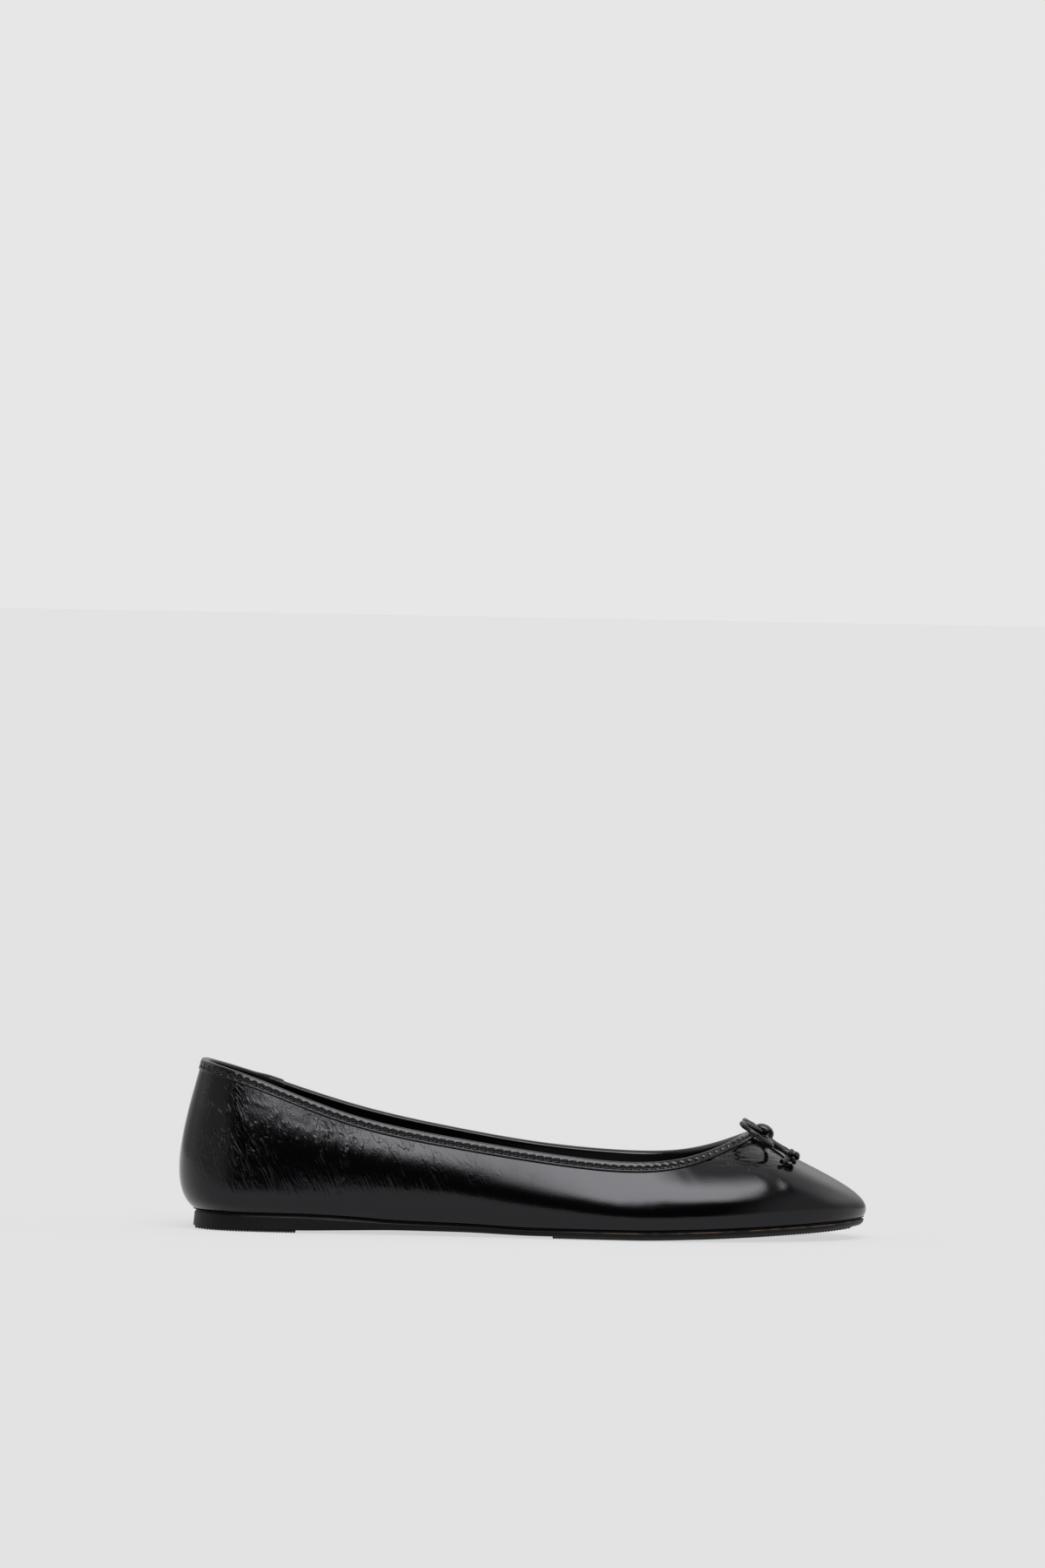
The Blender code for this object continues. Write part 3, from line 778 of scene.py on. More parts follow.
@dataclass(frozen=True)
class TubeSection:
    """The section of a rolled leather cord: round, with the shallow groove of its seam.

    The last four are shares: the groove's depth and the ends' rounding of the radius, and the end's
    and the bore's of the section.
    """

    radius: float
    sides: int = 18
    seam_turn: float = 0.9
    seam_width: float = 0.30
    seam_depth: float = 0.16
    end_round: float = 0.10
    end_share: float = 0.55
    bore_share: float = 0.62

    def spokes(self) -> tuple[Points, Points]:
        """The section's angles, and the radius at each."""
        turns = np.arange(self.sides) * 2 * math.pi / self.sides
        away = np.abs((turns - self.seam_turn + math.pi) % (2 * math.pi) - math.pi)
        return turns, self.radius * (1 - self.seam_depth * np.exp(-((away / self.seam_width) ** 2)))


def carried_frames(route: Points, first_side: Points) -> tuple[Points, Points, Points]:
    """Directions that travel along a route without twisting.

    Args:
        route: The route's points.
        first_side: A direction that the first side vector is made from.

    Returns:
        The tangent, the side and the up direction at each point.
    """
    tangents = unit(np.gradient(route, axis=0))
    side = first_side - np.dot(first_side, tangents[0]) * tangents[0]
    sides = [unit(side)]
    for tangent in tangents[1:]:
        carried = sides[-1] - np.dot(sides[-1], tangent) * tangent
        sides.append(unit(carried))
    return tangents, np.array(sides), np.cross(tangents, np.array(sides))


def tube(
    route: Points, section: TubeSection, first_side: Points, sizes: Points, hollow_end: bool = False
) -> Shape:
    """A cord along a route, closed at both ends.

    Args:
        route: The centreline's points, in the frame.
        section: The cord's section.
        first_side: A direction that sets where the seam lies.
        sizes: The section's scale at each point of the route.
        hollow_end: Whether the last end shows the tube's wall round a sunk middle.

    Returns:
        The closed shape, with the length along it in the mark "run" and the turn in "turn".
    """
    tangents, across, over = carried_frames(route, first_side)
    turns, radii = section.spokes()
    runs = np.concatenate([[0.0], np.cumsum(np.linalg.norm(np.diff(route, axis=0), axis=1))])
    rows: list[Points] = []
    run_marks: list[float] = []

    def add_row(k: int, scale: float, sunk: float = 0.0) -> None:
        """Adds one ring of the tube at the route's point k."""
        spokes = np.cos(turns)[:, None] * across[k] + np.sin(turns)[:, None] * over[k]
        rows.append(route[k] - sunk * tangents[k] + scale * radii[:, None] * spokes)
        run_marks.extend([runs[k]] * section.sides)

    add_row(0, section.end_share * sizes[0], section.end_round * section.radius)
    for k in range(len(route)):
        add_row(k, sizes[k])
    last = len(route) - 1
    sunk = section.radius if hollow_end else -section.end_round * section.radius
    if hollow_end:
        add_row(last, section.bore_share * sizes[last])
    add_row(last, section.end_share * sizes[last], sunk)
    faces: Faces = []
    for k in range(len(rows) - 1):
        faces += band(k * section.sides, (k + 1) * section.sides, section.sides)
    faces.append(tuple(range(section.sides)))
    faces.append(tuple(range((len(rows) - 1) * section.sides, len(rows) * section.sides)))
    points = np.concatenate(rows)
    turn_marks = np.tile(turns / (2 * math.pi), len(rows))
    return Shape(points, faces, {"run": np.array(run_marks), "turn": turn_marks}, sharp_degrees=55.0)


def joined(shapes: Sequence[Shape]) -> Shape:
    """Several shapes as one, which keeps the marks that the first has.

    Args:
        shapes: The shapes, with the same marks each.

    Returns:
        One shape with all their points and faces.
    """
    faces: Faces = []
    start = 0
    for shape in shapes:
        faces += [tuple(start + i for i in face) for face in shape.faces]
        start += len(shape.points)
    marks = {name: np.concatenate([shape.marks[name] for shape in shapes]) for name in shapes[0].marks}
    return Shape(np.concatenate([s.points for s in shapes]), faces, marks, shapes[0].materials)


# Shader expressions


Number = float | int


class Term:
    """An output of a material's tree. The usual operators on terms and numbers add its Math nodes."""

    def __init__(self, tree: "Recipe", socket: bpy.types.NodeSocket) -> None:
        """Wraps an output socket of this tree."""
        self.tree = tree
        self.socket = socket

    def _math(self, operation: str, first: "Term | Number", second: "Term | Number | None" = None) -> "Term":
        """The result of one Math node."""
        sockets = {0: first} if second is None else {0: first, 1: second}
        return self.tree.add("ShaderNodeMath", {"operation": operation}, sockets)

    def __add__(self, other: "Term | Number") -> "Term":
        """self + other."""
        return self._math("ADD", self, other)

    def __radd__(self, other: Number) -> "Term":
        """other + self."""
        return self._math("ADD", other, self)

    def __sub__(self, other: "Term | Number") -> "Term":
        """self - other."""
        return self._math("SUBTRACT", self, other)

    def __rsub__(self, other: Number) -> "Term":
        """other - self."""
        return self._math("SUBTRACT", other, self)

    def __mul__(self, other: "Term | Number") -> "Term":
        """self * other."""
        return self._math("MULTIPLY", self, other)

    def __rmul__(self, other: Number) -> "Term":
        """other * self."""
        return self._math("MULTIPLY", other, self)

    def __truediv__(self, other: "Term | Number") -> "Term":
        """self / other."""
        return self._math("DIVIDE", self, other)

    def __pow__(self, other: "Term | Number") -> "Term":
        """self ** other."""
        return self._math("POWER", self, other)

    def rises(self, low: float, high: float) -> "Term":
        """A soft rise from 0 at low to 1 at high."""
        settings = {"interpolation_type": "SMOOTHSTEP"}
        sockets = {"Value": self, "From Min": low, "From Max": high}
        return self.tree.add("ShaderNodeMapRange", settings, sockets)


class Recipe:
    """The node tree of one material or world, with one method that adds any node."""

    def __init__(self, tree: bpy.types.NodeTree) -> None:
        """Starts with an empty tree."""
        self.tree = tree
        tree.nodes.clear()

    def add(
        self,
        kind: str,
        settings: dict[str, object] | None = None,
        sockets: dict[str | int, object] | None = None,
        out: str | int = 0,
    ) -> Term:
        """Adds one node.

        Args:
            kind: The node's type.
            settings: Its properties, which are set first.
            sockets: The value or term of each input, by its name or index.
            out: The output wanted.

        Returns:
            That output.
        """
        node = self.tree.nodes.new(kind)
        for name, value in (settings or {}).items():
            setattr(node, name, value)
        for key, value in (sockets or {}).items():
            socket = node.inputs[key]
            if isinstance(value, Term):
                self.tree.links.new(value.socket, socket)
            elif isinstance(value, tuple) and len(value) == 3 and socket.type == "RGBA":
                socket.default_value = (*value, 1.0)
            else:
                socket.default_value = value
        return Term(self, node.outputs[out]) if node.outputs else Term(self, node.inputs[0])

    def axes(self, vector: Term) -> tuple[Term, Term, Term]:
        """A vector's three parts."""
        node = self.add("ShaderNodeSeparateXYZ", {}, {0: vector}).socket.node
        return Term(self, node.outputs["X"]), Term(self, node.outputs["Y"]), Term(self, node.outputs["Z"])

    def mark(self, name: str) -> Term:
        """The mesh's own named value."""
        settings = {"attribute_type": "GEOMETRY", "attribute_name": name}
        return self.add("ShaderNodeAttribute", settings, out="Fac")

    def place(self, stretch: tuple[float, float, float] = (1.0, 1.0, 1.0), lean: float = 0.0) -> Term:
        """The place on the piece, for a pattern that is stretched along its own leaning directions.

        Args:
            stretch: How much longer the pattern is along each direction.
            lean: How far its upright direction tips to the toe, in degrees.

        Returns:
            The pattern's own coordinates.
        """
        coords = self.add("ShaderNodeTexCoord", out="Object")
        sockets = {"Vector": coords, "Scale": stretch, "Rotation": (0.0, math.radians(lean), 0.0)}
        return self.add("ShaderNodeMapping", {"vector_type": "TEXTURE"}, sockets)

    def noise(self, vector: Term, scale: float, detail: float = 2.0, roughness: float = 0.5) -> Term:
        """Soft noise from 0 to 1."""
        sockets = {"Vector": vector, "Scale": scale, "Detail": detail, "Roughness": roughness}
        return self.add("ShaderNodeTexNoise", {}, sockets)

    def warped(self, vector: Term, scale: float, amount: float) -> Term:
        """The vector, pushed about by noise of this scale and amount.

        Args:
            vector: The vector to push.
            scale: The noise's scale.
            amount: How far it pushes.

        Returns:
            The pushed vector.
        """
        sockets = {"Vector": vector, "Scale": scale, "Detail": 2.0}
        push = self.add("ShaderNodeTexNoise", {}, sockets, "Color")
        centred = self.add("ShaderNodeVectorMath", {"operation": "SUBTRACT"}, {0: push, 1: (0.5, 0.5, 0.5)})
        scaled = self.add("ShaderNodeVectorMath", {"operation": "SCALE"}, {0: centred, "Scale": amount})
        return self.add("ShaderNodeVectorMath", {"operation": "ADD"}, {0: vector, 1: scaled})

    def bump(self, height: Term, distance: float, strength: float = 1.0, under: Term | None = None) -> Term:
        """A normal from heights, on top of another one.

        Args:
            height: The heights, from 0 to 1.
            distance: What a height of 1 stands for, in metres.
            strength: How much of the slope is used.
            under: The normal that this one rides on.

        Returns:
            The new normal.
        """
        sockets: dict[str | int, object] = {"Height": height, "Distance": distance, "Strength": strength}
        if under is not None:
            sockets["Normal"] = under
        return self.add("ShaderNodeBump", {}, sockets)

    def colour_mix(self, share: Term, first: Colour, second: Colour) -> Term:
        """The first colour where the share is 0 and the second where it is 1.

        Args:
            share: The way from the first to the second.
            first: The first colour.
            second: The second.

        Returns:
            The mixed colour.
        """
        mix = self.tree.nodes.new("ShaderNodeMix")
        mix.data_type = "RGBA"
        self.tree.links.new(share.socket, mix.inputs["Factor"])
        a, b = (s for s in mix.inputs if s.type == "RGBA")
        a.default_value, b.default_value = (*first, 1.0), (*second, 1.0)
        return Term(self, next(s for s in mix.outputs if s.type == "RGBA"))


@dataclass(frozen=True)
class Finish:
    """What every finish has: a name, a colour and the shader's own constants."""

    name: str
    colour: Colour
    roughness: float
    coat: float = 0.0
    coat_roughness: float = 0.05
    specular: float = 0.5
    tint: Colour = (1.0, 1.0, 1.0)

    def relief(self, recipe: Recipe) -> tuple[object, object, Term | None]:
        """The finish's base colour, roughness and normal, which a plain one has no relief for."""
        return self.colour, self.roughness, None

    def make(self) -> bpy.types.Material:
        """The finished material, made once.

        Returns:
            The material.
        """
        material = bpy.data.materials.get(self.name)
        if material is not None:
            return material
        material = bpy.data.materials.new(self.name)
        material.use_nodes = True
        recipe = Recipe(material.node_tree)
        base, roughness, normal = self.relief(recipe)
        sockets: dict[str | int, object] = {
            "Base Color": base,
            "Roughness": roughness,
            "Specular IOR Level": self.specular,
            "Specular Tint": self.tint,
            "Coat Weight": self.coat,
            "Coat Roughness": self.coat_roughness,
        }
        if normal is not None:
            sockets["Normal"] = normal
        shader = recipe.add("ShaderNodeBsdfPrincipled", {}, sockets)
        recipe.add("ShaderNodeOutputMaterial", {}, {"Surface": shader})
        return material


@dataclass(frozen=True)
class CrinkledLeather(Finish):
    """Glossy leather with a fine grain, which crinkles where the mesh's mark "crinkle" is high."""

    grain_size: float = 0.00060
    grain_depth: float = 0.000020
    stroke_gap: float = 0.0016
    stroke_depth: float = 0.000085
    stroke_lean: float = -24.0
    stroke_stretch: tuple[float, float, float] = (1.0, 1.0, 9.0)
    rumple_depth: float = 0.00003
    swell_size: float = 0.011
    swell_depth: float = 0.00010

    def strokes(self, recipe: Recipe, gap: float, thin: float) -> Term:
        """Thin wandering lines about this far apart, much longer upwards than along the shoe."""
        drawn = recipe.warped(recipe.place(self.stroke_stretch, self.stroke_lean), 0.22 / gap, 0.5 * gap)
        across = recipe.noise(drawn, 0.5 / gap, 1.0) - 0.5
        return 1 - (across * across / thin**2).rises(0.0, 1.0)

    def relief(self, recipe: Recipe) -> tuple[object, object, Term | None]:
        """Broad swells, broken crinkle lines that lean back from the toe, and a fine grain.

        Args:
            recipe: The material's node recipe, which takes the new nodes.

        Returns:
            The base colour, the roughness and the normal.
        """
        even = recipe.place()
        crinkle = recipe.mark("crinkle")
        swell = recipe.noise(even, 1 / self.swell_size, 1.0)
        broken = recipe.noise(even, 140.0, 2.0).rises(0.40, 0.62)
        line = self.strokes(recipe, self.stroke_gap, 0.050) * broken * crinkle
        hair = self.strokes(recipe, 0.45 * self.stroke_gap, 0.060) * (0.35 + 0.65 * broken) * crinkle
        rumple = recipe.noise(recipe.place((1.0, 1.0, 2.5), -20), 420.0, 2.0) * crinkle
        grain = recipe.noise(even, 1 / self.grain_size, 2.0, 0.6)
        normal = recipe.bump(swell, self.swell_depth)
        normal = recipe.bump(rumple, self.rumple_depth, 1.0, normal)
        normal = recipe.bump(line + 0.40 * hair, self.stroke_depth, 1.0, normal)
        normal = recipe.bump(grain, self.grain_depth, 1.0, normal)
        roughness = self.roughness + 0.06 * line + 0.06 * (grain - 0.5)
        return self.colour, roughness, normal


@dataclass(frozen=True)
class SmoothLeather(Finish):
    """Thin folded or lining leather with a soft grain."""

    grain_size: float = 0.0006
    grain_depth: float = 0.000018
    swell_depth: float = 0.00006

    def relief(self, recipe: Recipe) -> tuple[object, object, Term | None]:
        """A soft grain over slight swells.

        Args:
            recipe: The material's node recipe, which takes the new nodes.

        Returns:
            The base colour, the roughness and the normal.
        """
        even = recipe.place()
        swell = recipe.noise(even, 420.0, 2.0)
        grain = recipe.noise(even, 1 / self.grain_size, 3.0, 0.6)
        normal = recipe.bump(swell, self.swell_depth)
        normal = recipe.bump(grain, self.grain_depth, 1.0, normal)
        return self.colour, self.roughness + 0.12 * (grain - 0.5), normal


@dataclass(frozen=True)
class RolledCord(Finish):
    """Rolled leather cord, with fine creases that run along it."""

    crease_depth: float = 0.00009

    def relief(self, recipe: Recipe) -> tuple[object, object, Term | None]:
        """Creases along the cord, from its own run and turn.

        Args:
            recipe: The material's node recipe, which takes the new nodes.

        Returns:
            The base colour, the roughness and the normal.
        """
        run, turn = recipe.mark("run"), recipe.mark("turn")
        along = recipe.add("ShaderNodeCombineXYZ", {}, {"X": run * 160.0, "Y": turn * 5.0})
        crease = recipe.noise(along, 1.6, 4.0, 0.65)
        grain = recipe.noise(recipe.place(), 1800.0, 2.0)
        normal = recipe.bump(crease, self.crease_depth)
        normal = recipe.bump(grain, 0.000012, 1.0, normal)
        return self.colour, self.roughness + 0.20 * (crease - 0.5), normal


@dataclass(frozen=True)
class MouldedSole(Finish):
    """Satin moulded rubber, with a paler brownish line painted along the lip as its highlight, where the
    mark for it is high.
    """

    lip_highlight_colour: Colour = (0.085, 0.058, 0.045)

    def relief(self, recipe: Recipe) -> tuple[object, object, Term | None]:
        """Long faint buffing streaks round the edge, and the painted highlight: a paler line along the lip.

        Args:
            recipe: The material's node recipe, which takes the new nodes.

        Returns:
            The base colour, the roughness and the normal.
        """
        streaks = recipe.noise(recipe.place((10.0, 10.0, 1.0)), 1500.0, 3.0, 0.6)
        speckle = recipe.noise(recipe.place(), 1100.0, 2.0)
        # Painted highlight: the lip's bevel shines as a paler brownish line, painted into the base colour
        painted_lip_highlight = recipe.mark("painted_lip_highlight") * recipe.noise(recipe.place(), 160.0, 2.0).rises(0.30, 0.55)
        colour = recipe.colour_mix(painted_lip_highlight, self.colour, self.lip_highlight_colour)
        normal = recipe.bump(streaks, 0.00004)
        normal = recipe.bump(speckle, 0.000012, 1.0, normal)
        return colour, self.roughness + 0.16 * (streaks - 0.5) + 0.15 * painted_lip_highlight, normal


@dataclass(frozen=True)
class TreadRubber(Finish):
    """Matt tread rubber with a slightly porous skin."""

    def relief(self, recipe: Recipe) -> tuple[object, object, Term | None]:
        """Fine pores.

        Args:
            recipe: The material's node recipe, which takes the new nodes.

        Returns:
            The base colour, the roughness and the normal.
        """
        pores = recipe.noise(recipe.place(), 1600.0, 3.0, 0.6)
        dust = recipe.noise(recipe.place(), 220.0, 2.0).rises(0.4, 0.8)
        colour = recipe.colour_mix(dust * 0.5, self.colour, (0.030, 0.029, 0.028))
        return colour, self.roughness + 0.1 * (pores - 0.5), recipe.bump(pores, 0.00003)


@dataclass(frozen=True)
class SewingThread(Finish):
    """Waxed twisted thread."""

    def relief(self, recipe: Recipe) -> tuple[object, object, Term | None]:
        """The twist's fine ribs."""
        ply = recipe.noise(recipe.place(), 2600.0, 1.0)
        return self.colour, self.roughness, recipe.bump(ply, 0.00001)


COOL = (0.94, 0.93, 1.0)
LEATHER = CrinkledLeather("black crinkled leather", (0.0007, 0.0007, 0.0009), 0.13, 0.08, 0.06, 0.35, COOL)
BINDING = SmoothLeather("black binding leather", (0.0010, 0.0010, 0.0012), 0.18, 0.08, 0.08, 0.36, COOL)
LINING = SmoothLeather("black lining leather", (0.0060, 0.0058, 0.0058), 0.42)
FOOTBED = SmoothLeather("black footbed leather", (0.0080, 0.0076, 0.0074), 0.50, grain_depth=0.00003)
SOLE = MouldedSole("black moulded sole", (0.0032, 0.0031, 0.0030), 0.44, specular=0.15)
TREAD = TreadRubber("black tread rubber", (0.011, 0.011, 0.011), 0.62)
CORD = RolledCord("black leather cord", (0.0022, 0.0022, 0.0024), 0.20, 0.08, 0.10, specular=0.36)
THREAD = SewingThread("black sewing thread", (0.0060, 0.0060, 0.0062), 0.42)


# Geometry Nodes


class NodeTool:
    """A Geometry Nodes tree under construction, with named inputs."""

    def __init__(self, name: str) -> None:
        """Starts a tree that takes a geometry and a material and gives a geometry.

        Args:
            name: The tree's name.
        """
        self.tree = bpy.data.node_groups.new(name, "GeometryNodeTree")
        self.ids: dict[str, str] = {}
        self.input = self.tree.nodes.new("NodeGroupInput")
        self._socket("Geometry", "NodeSocketGeometry")
        self.tree.interface.new_socket("Geometry", in_out="OUTPUT", socket_type="NodeSocketGeometry")
        self.size("Material", "NodeSocketMaterial")

    def _socket(self, name: str, kind: str) -> bpy.types.NodeSocket:
        """Adds an input of the tree."""
        self.ids[name] = self.tree.interface.new_socket(name, in_out="INPUT", socket_type=kind).identifier
        return self.input.outputs[name]

    def size(self, name: str, kind: str = "NodeSocketFloat") -> bpy.types.NodeSocket:
        """A named input of the tree."""
        return self._socket(name, kind)

    def add(
        self,
        kind: str,
        settings: dict[str, object] | None = None,
        sockets: dict[str | int, object] | None = None,
        out: str | int = 0,
    ) -> bpy.types.NodeSocket:
        """Adds one node, with its settings and the values or links of its sockets.

        Args:
            kind: The node's type.
            settings: Its properties, which are set first.
            sockets: The value or output socket for each input, by its name or index.
            out: The output wanted.

        Returns:
            That output socket.
        """
        node = self.tree.nodes.new(kind)
        for name, value in (settings or {}).items():
            setattr(node, name, value)
        for key, value in (sockets or {}).items():
            if isinstance(value, bpy.types.NodeSocket):
                self.tree.links.new(value, node.inputs[key])
            else:
                node.inputs[key].default_value = value
        return node.outputs[out]

    def end(self, geometry: bpy.types.NodeSocket) -> None:
        """Realizes the instances, sets the material and ends the tree.

        Args:
            geometry: The geometry that the tree gives.
        """
        real = self.add("GeometryNodeRealizeInstances", {}, {"Geometry": geometry})
        smooth = self.add("GeometryNodeSetShadeSmooth", {}, {"Geometry": real, "Shade Smooth": True})
        done = self.add(
            "GeometryNodeSetMaterial", {}, {"Geometry": smooth, "Material": self.input.outputs["Material"]}
        )
        output = self.tree.nodes.new("NodeGroupOutput")
        self.tree.links.new(done, output.inputs[0])

    def run(self, guide: bpy.types.Object, name: str, sizes: dict[str, object]) -> bpy.types.Object:
        """Applies the tree to a guide and turns the result into a plain mesh.

        Args:
            guide: The object whose points or edges the tree follows, which is removed.
            name: The new piece's name.
            sizes: The value of each named input.

        Returns:
            The new piece.
        """
        modifier = guide.modifiers.new(self.tree.name, "NODES")
        modifier.node_group = self.tree
        for label, value in sizes.items():
            modifier[self.ids[label]] = value
        bpy.context.view_layer.update()
        graph = bpy.context.evaluated_depsgraph_get()
        mesh = bpy.data.meshes.new_from_object(guide.evaluated_get(graph), depsgraph=graph)
        mesh.name = name
        guide.modifiers.remove(modifier)
        bpy.data.objects.remove(guide)
        piece = bpy.data.objects.new(name, mesh)
        bpy.context.scene.collection.objects.link(piece)
        return piece


def guide_of(name: str, points: Points, edges: Faces, marks: dict[str, Points]) -> bpy.types.Object:
    """A guide for a tree: points, the edges between them and their named values.

    Args:
        name: The guide's name.
        points: Its points.
        edges: The pairs of points that it joins.
        marks: A number or a vector for each point, by name.

    Returns:
        The guide, linked into the scene.
    """
    mesh = bpy.data.meshes.new(name)
    mesh.from_pydata(points.tolist(), edges, [])
    for mark, values in marks.items():
        flat = values.ndim == 1
        attribute = mesh.attributes.new(mark, "FLOAT" if flat else "FLOAT_VECTOR", "POINT")
        attribute.data.foreach_set("value" if flat else "vector", np.asarray(values, np.float32).ravel())
    guide = bpy.data.objects.new(name, mesh)
    bpy.context.scene.collection.objects.link(guide)
    return guide


def stitch_tool() -> NodeTool:
    """The tree that sews a row of slanting stitches along a guide that has a mark "off" for its normal.

    Returns:
        The finished tree.
    """
    tool = NodeTool("row of stitches")
    pitch, length, thick = (tool.size(name) for name in ("Pitch", "Stitch length", "Thread"))
    seed = tool.size("Seed", "NodeSocketInt")
    line = tool.add("GeometryNodeMeshToCurve", {}, {"Mesh": tool.input.outputs["Geometry"]})
    row = tool.add("GeometryNodeResampleCurve", {"mode": "LENGTH"}, {"Curve": line, "Length": pitch})
    off = tool.add("GeometryNodeInputNamedAttribute", {"data_type": "FLOAT_VECTOR"}, {"Name": "off"})
    tangent = tool.add("GeometryNodeInputTangent")
    aside = tool.add("ShaderNodeVectorMath", {"operation": "CROSS_PRODUCT"}, {0: off, 1: tangent})
    slant = tool.add("FunctionNodeRandomValue", {"data_type": "FLOAT"}, {"Seed": seed}, 1)
    ranged = tool.add("ShaderNodeMath", {"operation": "MULTIPLY_ADD"}, {0: slant, 1: 0.10, 2: 0.08})
    pushed = tool.add("ShaderNodeVectorMath", {"operation": "SCALE"}, {0: aside, "Scale": ranged})
    way = tool.add("ShaderNodeVectorMath", {"operation": "ADD"}, {0: tangent, 1: pushed})
    upright = tool.add("FunctionNodeAlignRotationToVector", {"axis": "Z"}, {"Vector": off})
    axes = {"axis": "X", "pivot_axis": "Z"}
    turned = tool.add("FunctionNodeAlignRotationToVector", axes, {"Rotation": upright, "Vector": way})
    bead = tool.add("GeometryNodeMeshUVSphere", {}, {"Segments": 8, "Rings": 6, "Radius": 0.5})
    sizes = tool.add("ShaderNodeCombineXYZ", {}, {"X": length, "Y": thick, "Z": thick})
    stitch = tool.add("GeometryNodeTransform", {}, {"Geometry": bead, "Scale": sizes})
    sewn = tool.add(
        "GeometryNodeInstanceOnPoints", {}, {"Points": row, "Instance": stitch, "Rotation": turned}
    )
    tool.end(sewn)
    return tool


def tooth_tool() -> NodeTool:
    """The tree that lays a tooth of the tread across the sole at each point of a guide.

    The guide's mark "reach" is the tooth's length and "slope" the sole's slope there, in radians.

    Returns:
        The finished tree.
    """
    tool = NodeTool("teeth of a tread")
    width, height = (tool.size(name) for name in ("Tooth width", "Tooth height"))
    reach = tool.add("GeometryNodeInputNamedAttribute", {"data_type": "FLOAT"}, {"Name": "reach"})
    slope = tool.add("GeometryNodeInputNamedAttribute", {"data_type": "FLOAT"}, {"Name": "slope"})
    bar = tool.add("GeometryNodeMeshCylinder", {}, {"Vertices": 4, "Radius": 0.5, "Depth": 1.0})
    laid = tool.add("GeometryNodeTransform", {}, {"Geometry": bar, "Rotation": (math.radians(90), 0.0, 0.0)})
    sizes = tool.add("ShaderNodeCombineXYZ", {}, {"X": width, "Y": 1.0, "Z": height})
    tooth = tool.add("GeometryNodeTransform", {}, {"Geometry": laid, "Scale": sizes})
    turn = tool.add("ShaderNodeCombineXYZ", {}, {"Y": slope})
    stretch = tool.add("ShaderNodeCombineXYZ", {}, {"X": 1.0, "Y": reach, "Z": 1.0})
    points = tool.add("GeometryNodeMeshToPoints", {}, {"Mesh": tool.input.outputs["Geometry"]})
    teeth = tool.add(
        "GeometryNodeInstanceOnPoints",
        {},
        {"Points": points, "Instance": tooth, "Rotation": turn, "Scale": stretch},
    )
    tool.end(teeth)
    return tool


# The studio and the bow, which come first


